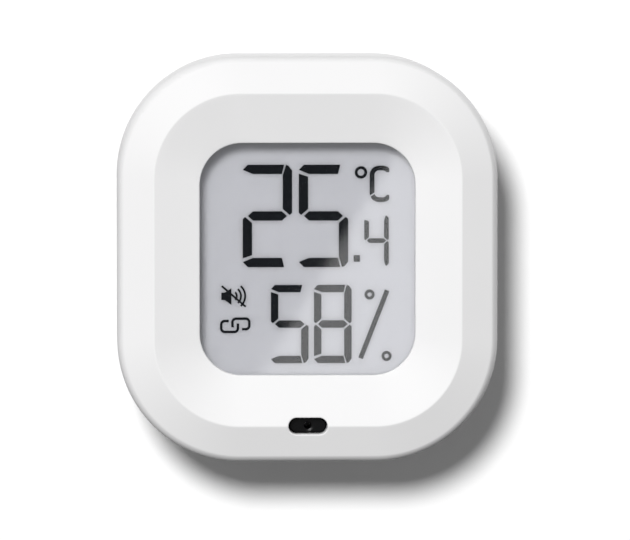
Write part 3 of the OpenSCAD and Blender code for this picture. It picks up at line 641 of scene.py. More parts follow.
def drawn_metal(tree, given):
    """Long fine lines of rolled or turned metal, with slow changes of gloss."""
    where = object_coordinates(tree)
    drawn = add(tree, "ShaderNodeMapping", {"Vector": where, "Scale": DRAWN_STRETCH}).outputs["Vector"]
    lines = noise(tree, drawn, given["Grain Scale"], 3.0)
    return noise(tree, where, given["Patch Scale"]), spread(tree, lines, given["Shade Low"], 1.0), lines


def board_tracks(tree, given):
    """Raised tracks under solder resist, as lines with a lighter shade."""
    where = object_coordinates(tree)
    split = add(tree, "ShaderNodeSeparateXYZ", {"Vector": where}).outputs
    level = add(tree, "ShaderNodeCombineXYZ", {"X": split["X"], "Y": split["Z"]})
    tracks = add(tree, "ShaderNodeTexBrick", {
        "Color1": BLACK,
        "Color2": BLACK,
        "Mortar": WHITE,
        "Mortar Size": TRACK_WIDTH,
        "Mortar Smooth": TRACK_SOFT,
        "Scale": given["Grain Scale"],
        "Vector": level.outputs["Vector"],
    }).outputs["Fac"]
    shade = spread(tree, tracks, given["Shade Low"], 1.0, 0.0, 1.0)
    return noise(tree, where, given["Patch Scale"]), shade, tracks


# Materials

BUMP_DISTANCE = 0.00005
SMUDGE_SCALE = 160.0
FILM_SPREAD = 0.003
# Painted light: a faint glow of the display's grey ground that lifts the opening rim's shadow on it
PAINTED_GLOW_STRENGTH = 0.09
PAINTED_GLOW_COLOUR = (0.97, 0.97, 1.0, 1.0)
LOW_GLOSS = 0.08
INK_GLOSS = 0.05
BOOT_GLOSS = 0.085

# Kinds of surface: grain scale, patch scale, lowest and highest roughness, darkest shade
SATIN = (7000.0, 70.0, 0.52, 0.6, 0.985)
FILM = (9000.0, 60.0, 0.55, 0.65, 0.97)
RESIN = (9000.0, 200.0, 0.45, 0.6, 0.8)
RUBBER = (5000.0, 150.0, 0.6, 0.8, 0.75)
SOFT_RUBBER = (5000.0, 150.0, 0.22, 0.26, 0.75)
METAL = (2500.0, 200.0, 0.2, 0.34, 0.86)
RESIST = (420.0, 90.0, 0.25, 0.4, 0.6)


def new_material(name):
    """A new material, its tree and its Principled shader."""
    material = bpy.data.materials.new(name)
    material.use_nodes = True
    return material, material.node_tree, material.node_tree.nodes["Principled BSDF"]


def surface_material(name, group, base, kind, relief, metallic=0.0, specular=0.5):
    """An opaque finish: one shader group feeds colour, roughness and relief of one Principled shader."""
    material, tree, shader = new_material(name)
    effect = add(tree, "ShaderNodeGroup", node_tree=group)
    feed(effect, {"Color": (*base, 1.0)})
    feed(effect, {label: value for (label, _, _), value in zip(SURFACE_INPUTS[1:], kind)})
    bump = {"Strength": relief, "Distance": BUMP_DISTANCE, "Height": effect.outputs["Height"]}
    feed(shader, {
        "Metallic": metallic,
        "Specular IOR Level": specular,
        "Base Color": effect.outputs["Color"],
        "Roughness": effect.outputs["Roughness"],
        "Normal": add(tree, "ShaderNodeBump", bump).outputs["Normal"],
    })
    return material


def film_spread_and_painted_glow(material):
    """Lets a display's film spread light sideways so shadows on it are soft, and adds a faint painted glow,
    painted light that makes them pale.
    """
    feed(material.node_tree.nodes["Principled BSDF"], {
        "Subsurface Weight": 1.0,
        "Subsurface Radius": (1.0, 1.0, 1.0),
        "Subsurface Scale": FILM_SPREAD,
        # The emission is painted light, a faint glow that lifts the rim's shadow on the grey ground
        "Emission Color": PAINTED_GLOW_COLOUR,
        "Emission Strength": PAINTED_GLOW_STRENGTH,
    })


def clear_material(name, tint, ior, rough):
    """A clear plate: it lets light straight through and mirrors a share of it that grows with the angle.

    The share is the same from both sides, because the light isn't bent on its way through.
    """
    material, tree, mirror = new_material(name)
    smudge = noise(tree, object_coordinates(tree), SMUDGE_SCALE, 3.0)
    gloss = spread(tree, smudge, rough, 1.5 * rough)
    feed(mirror, {"Base Color": WHITE, "Metallic": 1.0, "Roughness": gloss})
    through = add(tree, "ShaderNodeBsdfTransparent", {"Color": (*tint, 1.0)})
    behind = add(tree, "ShaderNodeNewGeometry").outputs["Backfacing"]
    both_ways = spread(tree, behind, ior, 1 / ior, 0.0, 1.0)
    share = add(tree, "ShaderNodeFresnel", {"IOR": both_ways}).outputs["Fac"]
    end_in_mix(tree, "Material Output", share, through.outputs["BSDF"], mirror.outputs["BSDF"])
    return material


def make_finishes(c):
    """Every finish of the record, by its slot."""
    grain = surface_group("moulded grain", moulded_grain)
    drawn = surface_group("drawn metal", drawn_metal)
    tracks = surface_group("board tracks", board_tracks)
    surfaces = {
        "white_shell": ("satin white moulding", grain, c.shell, SATIN, 0.06, 0.0, LOW_GLOSS),
        "button_white": ("satin white button", grain, c.shell, SATIN, 0.08, 0.0, LOW_GLOSS),
        "frame_white": ("white display frame", grain, c.shell, SATIN, 0.1),
        "segment_dark": ("segment ink", grain, c.ink, FILM, 0.02, 0.0, INK_GLOSS),
        "seal_line": ("cured seal", grain, c.seal, FILM, 0.1),
        "reflector_grey": ("reflector film", grain, c.reflector, FILM, 0.05),
        "dark_tape": ("foam tape", grain, c.tape, RUBBER, 0.4),
        "elastomer": ("black elastomer", grain, c.tape, RUBBER, 0.2),
        "boot_black": ("black boot rubber", grain, c.boot, SOFT_RUBBER, 0.1, 0.0, BOOT_GLOSS),
        "board_green": ("solder resist", tracks, c.board, RESIST, 0.3),
        "chip_black": ("chip resin", grain, c.resin, RESIN, 0.3),
        "plated_steel": ("plated steel", drawn, c.steel, METAL, 0.08, 1.0),
        "screw_steel": ("zinc plating", drawn, c.zinc, METAL, 0.1, 1.0),
        "brass_disc": ("brass", drawn, c.brass, METAL, 0.08, 1.0),
        "copper_track": ("copper track", drawn, c.copper, METAL, 0.08, 1.0),
        "passive_tan": ("fired ceramic", grain, c.ceramic, RESIN, 0.2),
        "membrane_white": ("porous membrane", grain, c.membrane, RUBBER, 0.5),
    }
    plates = {
        "clear_window": ("clear window", (0.985, 0.987, 0.99), 1.4, 0.02),
        "polariser": ("polariser film", (0.97, 0.975, 0.98), 1.25, 0.2),
        "display_glass": ("display glass", (0.985, 0.99, 0.99), 1.12, 0.06),
    }
    made = {slot: surface_material(*row) for slot, row in surfaces.items()}
    made.update({slot: clear_material(*row) for slot, row in plates.items()})
    # The grey ground spreads light inside itself and also gets a painted glow, painted light that lightens
    # its shadows
    film_spread_and_painted_glow(made["reflector_grey"])
    return made


FINISH_NAMES = {}


def finish(slot):
    """The material of a record slot."""
    return bpy.data.materials[FINISH_NAMES[slot]]


# Places that several pieces share

BOARD_SCREW_HEAD = 0.0014


def screw_places(b):
    """The four case screws' places on the face."""
    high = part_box("case_screws")[1]
    x = high.x - b.head_radius
    y = face_y(high.z) - b.head_radius
    return [(sx * x, sy * y) for sx in (-1, 1) for sy in (-1, 1)]


def board_screw_places():
    """The two board screws' places on the face."""
    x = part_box("board_screws")[1].x - BOARD_SCREW_HEAD
    return [(-x, 0.0), (x, 0.0)]


def key_place():
    """The keyhole's place on the face, from the record's mount."""
    mount = next(m for m in frame["record"]["mounts"] if m["name"] == "hang_hole")
    x, _, z = mount["pos_m"]
    return x, face_y(z)


# Operators


class SENSOR_OT_finishes(bpy.types.Operator):
    """Make every finish and give each carried-over node its own"""

    bl_idname = "sensor.finishes"
    bl_label = "Finishes"

    def execute(self, context):
        for slot, material in make_finishes(context.scene.sensor_colours).items():
            FINISH_NAMES[slot] = material.name
        for part in frame["record"]["subparts"]:
            mesh = frame["nodes"][part["node"]].data
            mesh.materials.clear()
            mesh.materials.append(finish(part["material_slot"]))
        return {"FINISHED"}


# Fixed sizes of the front shell
WALL_SHARES = (0.25, 0.5, 0.75)
CREST_INSIDE = 0.0001
BEVEL_INSIDE = 0.00025
CEILING_GAP = 0.00005
BOSS_RADIUS = 0.00211
BOSS_HOLE = 0.00101
PEG_RADIUS = 0.00181
PEG_HOLE = 0.00081
HOLE_ROOM = 0.0003
COLLAR_LAP = 0.0003
SLOT_LEDGE = 0.0011
LEDGE_NEAR = 0.00001
LEDGE_CLEAR = 0.00005


class SENSOR_OT_front_shell(bpy.types.Operator):
    """Build the front shell with its bevel, crest, dish, display opening and sensor slot"""

    bl_idname = "sensor.front_shell"
    bl_label = "Front shell"

    def execute(self, context):
        s, b = context.scene.sensor_shell, context.scene.sensor_back
        self.set_levels(s)
        made = self.shell(s)
        shape(made, "UNION", self.inner_bosses(s, b))
        shape(made, "DIFFERENCE", self.boss_holes(b))
        self.cut_slot(made, s)
        dress(made, "case", "white_shell", "front_housing")
        return {"FINISHED"}

    def set_levels(self, s):
        """Levels and insets of the face, and its profile from the seam to the opening."""
        edge_w = s.edge_radius * (1 - cos(s.edge_turn))
        edge_t = s.edge_radius * sin(s.edge_turn)
        self.crest_u = edge_w + s.bevel_width
        self.bevel_z = BODY_T - s.bevel_rise
        edge_z = self.bevel_z - edge_t
        lip_u = max(s.rim_x, s.rim_y)
        self.flat = s.crest_flat / 2
        rise = s.bevel_rise / (s.bevel_width - self.flat)
        self.fall = s.dish_fall / (lip_u - self.crest_u - self.flat)
        peak_u = self.crest_u + self.flat * (self.fall - rise) / (self.fall + rise)
        peak_z = BODY_T + rise * (peak_u - self.crest_u + self.flat)
        arc = steps_to(s.edge_turn, EDGE_STEPS)
        path = [(s.seam_soft, SEAM_Z), (0.0, SEAM_Z + s.seam_soft)]
        path += [(0.0, SEAM_Z + f * (edge_z - SEAM_Z)) for f in WALL_SHARES]
        path += [(s.edge_radius * (1 - cos(a)), edge_z + s.edge_radius * sin(a)) for a in arc]
        path += [(peak_u, peak_z), (lip_u, self.dish(lip_u))]
        reach = [0.0] * len(path)
        reach[1] = s.seam_soft / 3
        reach[-3] = s.bevel_soft / 2
        reach[-2] = s.crest_soft
        self.profile = soften(path, reach)
        self.slot_y = self.crest_u - BODY_H / 2
        self.collar_z = BODY_T - s.collar_depth

    def dish(self, u):
        """Height of the dish at an inset from the outline."""
        return BODY_T - self.fall * (u - self.crest_u - self.flat)

    def inset(self, s, x, y):
        """How far a point of the face lies inside the outline."""
        qx = abs(x) - BODY_W / 2 + s.corner_radius
        qy = abs(y) - BODY_H / 2 + s.corner_radius
        return s.corner_radius - hypot(max(qx, 0.0), max(qy, 0.0)) - min(max(qx, qy), 0.0)

    def shell(self, s):
        """The closed wall section, run round the outline."""
        bm = bmesh.new()
        view_w, view_h = BODY_W - 2 * s.rim_x, BODY_H - 2 * s.rim_y

        def opening(grow):
            return rounded_rect(view_w + 2 * grow, view_h + 2 * grow, s.view_radius + grow)

        def heights(points):
            return [self.dish(self.inset(s, x, y)) for x, y in points]

        def on_dish(points):
            return [Vector((x, y, z)) for (x, y), z in zip(points, heights(points))]

        rings = [ring(bm, body_outline(s, u), z) for u, z in self.profile[:-1]]
        crest, lip, edge = body_outline(s, self.profile[-2][0]), opening(s.lip_soft), opening(0.0)
        for f in steps_to(1.0, DISH_STEPS)[1:]:
            points = [between(a, b, f) for a, b in zip(crest, lip)]
            rings.append(ring(bm, points, heights(points)))
        down = Vector((0.0, 0.0, s.lip_soft))
        for t in SHARES[1:]:
            row = [bend(a, b, b - down, t) for a, b in zip(on_dish(lip), on_dish(edge))]
            rings.append(ring(bm, [(p.x, p.y) for p in row], [p.z for p in row]))
        pocket = opening(s.window_lap)
        rib_u = min(s.rim_x, s.rim_y) - s.window_lap - s.rib
        rib, wall = body_outline(s, rib_u), body_outline(s, s.wall)
        inside = [
            (edge, LIP_BACK_Z),
            (pocket, LIP_BACK_Z),
            (pocket, WINDOW_Z),
            (rib, WINDOW_Z),
            (rib, self.dish(rib_u) - s.skin),
            (body_outline(s, self.crest_u), BODY_T - s.skin - CREST_INSIDE),
            (wall, self.bevel_z - s.skin + BEVEL_INSIDE),
            (wall, SEAM_Z),
        ]
        rings += [ring(bm, points, z) for points, z in inside]
        skin(bm, rings, closed=True)
        return piece("front_shell", bm)

    def inner_bosses(self, s, b):
        """Screw bosses and the collar behind the slot."""
        ceiling = BODY_T - s.skin - CEILING_GAP
        tools = [post("boss", x, y, BOSS_RADIUS, SEAM_Z, ceiling) for x, y in screw_places(b)]
        tools += [post("boss", x, y, PEG_RADIUS, BOARD_Z, ceiling) for x, y in board_screw_places()]
        around = stadium(0.0, self.slot_y, s.slot_width + 2 * s.collar, s.slot_height + 2 * s.collar)
        tools.append(stack("collar", [(around, self.collar_z), (around, ceiling + COLLAR_LAP)]))
        return tools

    def boss_holes(self, b):
        """Holes for the screw shanks."""
        top = front_z("case_screws") + HOLE_ROOM
        tools = [post("shank", x, y, BOSS_HOLE, SEAM_Z - OVERCUT, top) for x, y in screw_places(b)]
        tools += [post("shank", x, y, PEG_HOLE, BOARD_Z - OVERCUT, top) for x, y in board_screw_places()]
        return tools

    def cut_slot(self, made, s):
        """Cuts the sensor slot a little wide at the face, then closes it to its size with a rounded edge."""
        steps, grow = 2 * SMALL_STEPS, 2 * s.slot_soft
        ledge_z = BODY_T - SLOT_LEDGE
        wide = stadium(0.0, self.slot_y, s.slot_width + grow, s.slot_height + grow, steps)
        true = stadium(0.0, self.slot_y, s.slot_width, s.slot_height, steps)
        levels = [(wide, BODY_T + OVERCUT), (wide, ledge_z), (true, ledge_z), (true, self.collar_z - OVERCUT)]
        cutter = stack("slot", levels)
        shell_mark = bpy.data.materials.new("shell mark")
        slot_mark = bpy.data.materials.new("slot mark")
        made.data.materials.append(shell_mark)
        cutter.data.materials.append(slot_mark)
        shape(made, "DIFFERENCE", [cutter])
        slot_index = [m.name if m else "" for m in made.data.materials].index(slot_mark.name)
        bm = bmesh.new()
        bm.from_mesh(made.data)
        cut = [face for face in bm.faces if face.material_index == slot_index]
        upper = [f for f in cut if from_back(f.calc_center_median().y) > ledge_z - LEDGE_NEAR]
        bmesh.ops.delete(bm, geom=upper, context="FACES")
        rims = [e for e in bm.edges if e.is_boundary]
        top = [e for e in rims if all(from_back(v.co.y) > ledge_z + LEDGE_CLEAR for v in e.verts)]
        low = [e for e in rims if all(abs(from_back(v.co.y) - ledge_z) < LEDGE_NEAR for v in e.verts)]
        self.round_slot(bm, s, top, low)
        bmesh.ops.recalc_face_normals(bm, faces=bm.faces)
        bm.to_mesh(made.data)
        bm.free()
        made.data.materials.clear()
        bpy.data.materials.remove(shell_mark)
        bpy.data.materials.remove(slot_mark)

    def round_slot(self, bm, s, top, low):
        """Rounds the face down into the slot from the wide rim, and joins it to the slot's wall."""
        reach = (s.slot_width - s.slot_height) / 2
        columns = {}
        for v in {v for e in top for v in e.verts}:
            x = v.co.x
            y = face_y(v.co.z) - self.slot_y
            mx = max(-reach, min(reach, x))
            away = Vector((x - mx, y)).normalized() * s.slot_height / 2
            px, py = mx + away.x, self.slot_y + away.y
            start = Vector((x, y + self.slot_y, from_back(v.co.y)))
            corner = Vector((px, py, along(self.profile, self.inset(s, px, py))))
            end = corner - Vector((0.0, 0.0, s.slot_soft))
            columns[v] = [v] + [bm.verts.new(place(*bend(start, corner, end, t))) for t in SHARES[1:]]
        for e in top:
            a, b = (columns[v] for v in e.verts)
            for k in range(ROUND_STEPS):
                bm.faces.new((a[k], b[k], b[k + 1], a[k + 1]))
        upper = [column[-1] for column in columns.values()]
        lower = list({v for e in low for v in e.verts})
        self.zip_rings(bm, upper, lower)

    def zip_rings(self, bm, upper, lower):
        """Triangles between two rings round the slot that differ in their number of vertices."""
        middle = place(0.0, self.slot_y, 0.0)

        def turn(v):
            return atan2(v.co.z - middle.z, v.co.x - middle.x)

        a, b = sorted(upper, key=turn), sorted(lower, key=turn)
        turns_a = [turn(v) for v in a] + [turn(a[0]) + 2 * pi]
        turns_b = [turn(v) for v in b] + [turn(b[0]) + 2 * pi]
        i = j = 0
        while i < len(a) or j < len(b):
            va, vb = a[i % len(a)], b[j % len(b)]
            if j == len(b) or (i < len(a) and turns_a[i + 1] <= turns_b[j + 1]):
                i += 1
                bm.faces.new((va, a[i % len(a)], vb))
            else:
                j += 1
                bm.faces.new((va, b[j % len(b)], vb))


# Fixed sizes of the rear shell
TONGUE_GAP = 0.0001
TONGUE_IN = 0.0009
TONGUE_FOOT = 0.0016
TONGUE_START = 0.0006
TONGUE_RISE = 0.0012
RING_WALL = 0.0012
RING_CAP = 0.0008
BOARD_GAP = 0.0004
HEAD_WALL = 0.0009
SEAM_GAP = 0.0001
KEY_EASE = 0.0001
KEY_BOX_WIDER = 0.0024
KEY_BOX_TALLER = 0.0011
KEY_LID = 0.001
KEY_ROOM_WIDER = 0.0004
KEY_CUT = 0.0005
GUIDE_WALL = 0.0017
GUIDE_ROOM = 0.0009
GUIDE_TOP = 0.00335
GROOVE_EASE = 0.00025
WELL_CUT = 0.012
HOLE_CUT = 0.009
SOUND_CUT = 0.004


class SENSOR_OT_rear_shell(bpy.types.Operator):
    """Build the rear shell with its door recess, keyhole, screw wells, button hole and sound holes"""

    bl_idname = "sensor.rear_shell"
    bl_label = "Rear shell"

    def execute(self, context):
        s, b = context.scene.sensor_shell, context.scene.sensor_back
        self.set_levels(b)
        made = self.cup(s)
        shape(made, "UNION", self.inner_walls(s, b))
        shape(made, "DIFFERENCE", self.openings(s, b))
        dress(made, "case", "white_shell", "rear_housing")
        return {"FINISHED"}

    def set_levels(self, b):
        """Levels of the door's seat, step and groove, the seat's radius, and the ends of the keyhole."""
        back = DOOR_Z + b.door_thick
        self.seat_z = back + b.seat_gap
        self.step_z = back + b.step_thick
        self.groove_z = self.step_z + b.lug_thick + 2 * b.lug_gap
        self.seat_radius = node_width("battery_door") / 2 + b.door_gap
        self.key_low = key_place()[1] - b.key_radius - KEY_EASE
        self.key_high = key_place()[1] + b.key_rise + b.key_radius

    def cup(self, s):
        """Outer wall, rounded back edge, back face, inner floor and the tongue inside the seam."""
        near, far = s.wall + TONGUE_GAP, s.wall + TONGUE_IN
        top = SEAM_Z + TONGUE_RISE
        section = [(s.wall, s.floor), (s.wall, SEAM_Z - TONGUE_FOOT), (far, SEAM_Z - TONGUE_START)]
        section += [(far, top), (near, top), (near, SEAM_Z)]
        section += [(s.seam_soft, SEAM_Z), (0.0, SEAM_Z - s.seam_soft)]
        arc = steps_to(pi / 2, BACK_STEPS)
        section += [(s.rear_round * (1 - cos(a)), s.rear_round * (1 - sin(a))) for a in arc]
        return stack("rear_shell", [(body_outline(s, u), z) for u, z in section])

    def key_block(self, name, wider, taller, z0, z1):
        """A box round the keyhole."""
        middle = (self.key_low + self.key_high) / 2
        return block(name, key_place()[0], middle, wider, self.key_high - self.key_low + taller, z0, z1)

    def inner_walls(self, s, b):
        """Bayonet ring, cell well, screw bosses, keyhole box and button guide."""
        z = s.floor / 2
        ring_r, ring_z = self.seat_radius + RING_WALL, self.groove_z + RING_CAP
        well_r, well_z = b.well_radius + b.well_wall, back_z("main_board") - BOARD_GAP
        profile = [(0.0, z), (ring_r, z), (ring_r, ring_z), (well_r, ring_z), (well_r, well_z), (0.0, well_z)]
        tools = [turned("ring", *face_middle("battery_door"), profile)]
        boss_r = b.head_radius + b.head_gap + HEAD_WALL
        tools += [post("boss", x, y, boss_r, z, SEAM_Z - SEAM_GAP) for x, y in screw_places(b)]
        lid = s.floor + b.key_room + KEY_LID
        tools.append(self.key_block("key box", 2 * b.key_radius + KEY_BOX_WIDER, KEY_BOX_TALLER, z, lid))
        tools.append(post("guide", *face_middle("pair_button"), b.button_radius + GUIDE_WALL, z, GUIDE_TOP))
        return tools

    def openings(self, s, b):
        """Cutters for the door's seat and the cell, screws, keyhole, button and sound holes."""
        soft, well = b.hole_soft, b.well_radius
        bore_r, groove_r = b.skirt_radius + b.door_gap, b.skirt_radius + b.lug_reach + GROOVE_EASE
        inside = [(bore_r, self.seat_z), (bore_r, self.step_z), (groove_r, self.step_z)]
        inside += [(groove_r, self.groove_z), (well, self.groove_z), (well, WELL_CUT)]
        door = face_middle("battery_door")
        tools = [stepped_hole("door seat", door, self.seat_radius, soft, self.seat_z, inside, CIRCLE_STEPS)]
        head = b.head_radius + b.head_gap
        inside = [(b.shank_radius, b.head_seat), (b.shank_radius, HOLE_CUT)]
        for middle in screw_places(b):
            tools.append(stepped_hole("screw", middle, head, soft, b.head_seat, inside))
        kx, ky = key_place()
        deep = s.floor + KEY_CUT
        tools.append(bore("key entry", kx, ky, b.key_radius, soft, deep))
        tall = b.key_rise + 2 * b.key_slot
        tools.append(groove("key slot", kx, ky + b.key_rise / 2, 2 * b.key_slot, tall, 0.0, soft, deep))
        wide = 2 * b.key_radius + KEY_ROOM_WIDER
        tools.append(self.key_block("key room", wide, 0.0, s.floor, s.floor + b.key_room))
        hole, guide = b.button_radius + b.button_gap, b.button_radius + GUIDE_ROOM
        inside = [(guide, s.floor), (guide, HOLE_CUT)]
        tools.append(stepped_hole("button hole", face_middle("pair_button"), hole, soft, s.floor, inside))
        sx, sy = face_middle("buzzer_case")
        for i in (-1, 0, 1):
            x = sx + i * b.sound_pitch
            tools.append(bore("sound", x, sy, b.sound_radius, soft / 2, SOUND_CUT, SMALL_STEPS // 2))
        return tools


# The crossed recess of a screw: shares of its size, with shares of its depth
RECESS_TAPER = ((1.0, 0.0), (0.85, 0.7), (0.4, 1.0))
RECESS_LEAD = 0.0002


class SENSOR_OT_case_screws(bpy.types.Operator):
    """Build the four case screws with rounded heads and crossed recesses"""

    bl_idname = "sensor.case_screws"
    bl_label = "Case screws"

    def execute(self, context):
        b = context.scene.sensor_back
        top, tip = back_z("case_screws"), front_z("case_screws")
        seat, shank = b.head_seat - b.seat_gap, b.screw_radius
        path = [(0.0, top), (b.head_radius, top), (b.head_radius, seat), (shank, seat)]
        path += [(shank, tip - shank / 2), (shank / 2, tip), (0.0, tip)]
        profile = soften(path, [0.0, b.head_soft, b.head_gap, 0.0, 0.0, 0.0, 0.0])
        places = screw_places(b)
        screws = [turned("case_screw_set", x, y, profile, SMALL_STEPS) for x, y in places]
        made = screws[0]
        shape(made, "UNION", screws[1:])
        shape(made, "DIFFERENCE", [self.recess(b, x, y, top) for x, y in places])
        dress(made, "case", "screw_steel", "case_screws")
        return {"FINISHED"}

    def recess(self, b, mx, my, top):
        """A crossed cutter that gets narrower with depth and ends in a blunt point."""
        reach, half = b.cross_reach, b.cross_half
        levels = [(1.0, top - RECESS_LEAD)]
        levels += [(size, top + share * b.cross_depth) for size, share in RECESS_TAPER]
        return stack("recess", [(self.cross(mx, my, f * reach, f * half), z) for f, z in levels])

    def cross(self, mx, my, reach, half):
        """The outline of a cross."""
        arm = [(half, half), (half, reach), (-half, reach)]
        points = []
        for _ in range(4):
            points += arm
            arm = [(-y, x) for x, y in arm]
        return [(mx + x, my + y) for x, y in points]


# Fixed sizes of the door
LUGS = 3
LUG_LAP = 0.0002
COIN_BASE = 0.0002
DOT_INSET = 0.002
DOT_DEPTH = 0.0003
DOT_TURNS = (0.0, 0.4, 0.8, 1.2)


class SENSOR_OT_battery_door(bpy.types.Operator):
    """Build the round door with its coin slot, index dot, skirt and lugs"""

    bl_idname = "sensor.battery_door"
    bl_label = "Battery door"

    def execute(self, context):
        b = context.scene.sensor_back
        mx, my = face_middle("battery_door")
        radius = node_width("battery_door") / 2
        back = DOOR_Z + b.door_thick
        lug_z = back + b.step_thick + b.lug_gap
        lug_top = lug_z + b.lug_thick
        skirt, skirt_in = b.skirt_radius, b.skirt_radius - b.skirt_wall
        profile = soften([(0.0, DOOR_Z), (radius, DOOR_Z), (radius, back)], [0.0, b.door_soft, 0.0])
        profile += [(skirt, back), (skirt, lug_top), (skirt_in, lug_top), (skirt_in, back), (0.0, back)]
        made = turned("battery_door_disc", mx, my, profile)
        inner, outer = skirt - LUG_LAP, skirt + b.lug_reach
        lugs = []
        for i in range(LUGS):
            middle = pi / 2 + 2 * pi * i / LUGS
            start, end = middle - b.lug_half, middle + b.lug_half
            lugs.append(sector("lug", mx, my, inner, outer, lug_z, lug_top, start, end))
        shape(made, "UNION", lugs)
        depth = b.coin_depth - DOOR_Z
        coin = groove("coin", mx, my, b.coin_length, b.coin_width, DOOR_Z, b.hole_soft, depth, COIN_BASE)
        dot = [(0.0, DOOR_Z - OVERCUT), (b.dot_radius, DOOR_Z - OVERCUT)]
        dot += [(b.dot_radius * cos(a), DOOR_Z + DOT_DEPTH * sin(a)) for a in DOT_TURNS]
        dot.append((0.0, DOOR_Z + DOT_DEPTH))
        shape(made, "DIFFERENCE", [coin, turned("dot", mx, my + radius - DOT_INSET, dot, SMALL_STEPS)])
        dress(made, "door", "white_shell", "battery_door")
        return {"FINISHED"}


# Fixed sizes of the button
HOLLOW_DEPTH = 0.00012
HOLLOW_RADIUS = 0.0012
HOLLOW_EDGE = 0.00004
HOLLOW_SOFT = 0.0002
FLANGE_GAP = 0.00015
FLANGE_THICK = 0.0006
STEM_RADIUS = 0.0009


class SENSOR_OT_pair_button(bpy.types.Operator):
    """Build the pairing button with its rounded edge, flange and stem"""

    bl_idname = "sensor.pair_button"
    bl_label = "Pairing button"

    def execute(self, context):
        b = context.scene.sensor_back
        stem_z, flange_r = front_z("pair_button"), node_width("pair_button") / 2
        flange_z = context.scene.sensor_shell.floor + FLANGE_GAP
        flange_top = flange_z + FLANGE_THICK
        path = [(0.0, BUTTON_Z + HOLLOW_DEPTH), (HOLLOW_RADIUS, BUTTON_Z + HOLLOW_EDGE)]
        path += [(b.button_radius, BUTTON_Z), (b.button_radius, flange_z)]
        profile = soften(path, [0.0, HOLLOW_SOFT, b.button_soft, 0.0])
        profile += [(flange_r, flange_z), (flange_r, flange_top), (STEM_RADIUS, flange_top)]
        profile += [(STEM_RADIUS, stem_z), (0.0, stem_z)]
        made = turned("pair_button_cap", *face_middle("pair_button"), profile, SMALL_STEPS)
        dress(made, "button", "button_white", "pair_button")
        return {"FINISHED"}


# Fixed sizes of the boot
FILTER_GAP = 0.00005
FILTER_CUT = 0.003
PORT_RIM_SHARE = 1 / 8
CHIP_WIDER = 0.0004
CHIP_LID = 0.0002


class SENSOR_OT_sensor_boot(bpy.types.Operator):
    """Build the soft boot in the slot, with its rounded nozzle, air port and room for the chip"""

    bl_idname = "sensor.sensor_boot"
    bl_label = "Sensor boot"

    def execute(self, context):
        s = context.scene.sensor_shell
        low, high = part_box("sensor_boot")
        mx, my = face_middle("sensor_boot")
        base = stadium(mx, my, high.x - low.x, high.z - low.z)
        collar_z = BODY_T - s.collar_depth
        wide, tall = s.slot_width - 2 * s.nozzle_gap, s.slot_height - 2 * s.nozzle_gap
        levels = [(base, back_z("sensor_boot")), (base, collar_z), (stadium(mx, my, wide, tall), collar_z)]
        for a in QUARTER:
            inset = 2 * s.nozzle_soft * (1 - cos(a))
            z = BOOT_Z - s.nozzle_soft * (1 - sin(a))
            levels.append((stadium(mx, my, wide - inset, tall - inset), z))
        made = stack("sensor_boot_nozzle", levels)
        shape(made, "DIFFERENCE", [self.port(s, mx, my), self.chip_room(mx, my)])
        dress(made, "case", "boot_black", "sensor_boot")
        return {"FINISHED"}

    def port(self, s, mx, my):
        """The air port with the shallow dish round it, and the room for the membrane below it."""
        room_r, room_z = node_width("sensor_filter") / 2 + FILTER_GAP, front_z("sensor_filter")
        rim, fall = s.port_dish * PORT_RIM_SHARE, tan(s.port_slope)
        dish_r = s.port_radius + s.port_dish
        path = [(dish_r, BOOT_Z), (dish_r - rim, BOOT_Z - rim * fall)]
        path += [(s.port_radius, BOOT_Z - s.port_dish * fall), (s.port_radius, room_z)]
        profile = [(0.0, BOOT_Z + OVERCUT), (dish_r, BOOT_Z + OVERCUT)]
        profile += soften(path, [0.0, 0.0, s.port_soft, 0.0])
        profile += [(room_r, room_z), (room_r, room_z - FILTER_CUT), (0.0, room_z - FILTER_CUT)]
        return turned("port", mx, my, profile, SMALL_STEPS)

    def chip_room(self, mx, my):
        """The square room over the sensing chip."""
        wide = node_width("humidity_sensor") + CHIP_WIDER
        back, front = back_z("humidity_sensor") - OVERCUT, front_z("humidity_sensor") + CHIP_LID
        return block("chip room", mx, my, wide, wide, back, front)


# Small laps of the display's layers
PANE_LAP = 0.00005
FILM_LAP = 0.0001
GROUND_GAP = 0.00001


class SENSOR_OT_display_cell(bpy.types.Operator):
    """Build the display's panes and front film as one clear block, and the grey ground behind the segments"""

    bl_idname = "sensor.display_cell"
    bl_label = "Display cell"

    def execute(self, context):
        front_low, front_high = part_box("lcd_front_glass")
        rear_low, rear_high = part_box("lcd_rear_glass")
        back_y = rear_high.y + PANE_LAP
        section = [
            (back_y, rear_low.z),
            (back_y, rear_high.z),
            (front_high.y, rear_high.z),
            (front_high.y, front_high.z),
            (front_low.y, front_high.z),
            (front_low.y, front_low.z),
        ]
        made = self.run("display_cell", section, front_low.x, front_high.x)
        low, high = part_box("lcd_front_polariser")
        shape(made, "UNION", [self.sheet("film", low, high, low.y, high.y + FILM_LAP)])
        dress(made, "case", "display_glass", "lcd_front_polariser", "lcd_front_glass", "lcd_rear_glass")
        low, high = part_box("lcd_reflector")
        front_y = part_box("lcd_segments")[1].y + GROUND_GAP
        ground = self.sheet("display_ground", low, high, front_y, high.y)
        dress(ground, "case", "reflector_grey", "lcd_reflector")
        return {"FINISHED"}

    def run(self, name, section, start, end):
        """A closed bar with a section in y and z, from one x to another."""
        bm = bmesh.new()
        ends = [[bm.verts.new((x, y, z)) for y, z in section] for x in (start, end)]
        return capped(name, bm, ends)

    def sheet(self, name, low, high, front_y, back_y):
        """A plain sheet between the sides of a box."""
        section = [(front_y, low.z), (back_y, low.z), (back_y, high.z), (front_y, high.z)]
        return self.run(name, section, low.x, high.x)


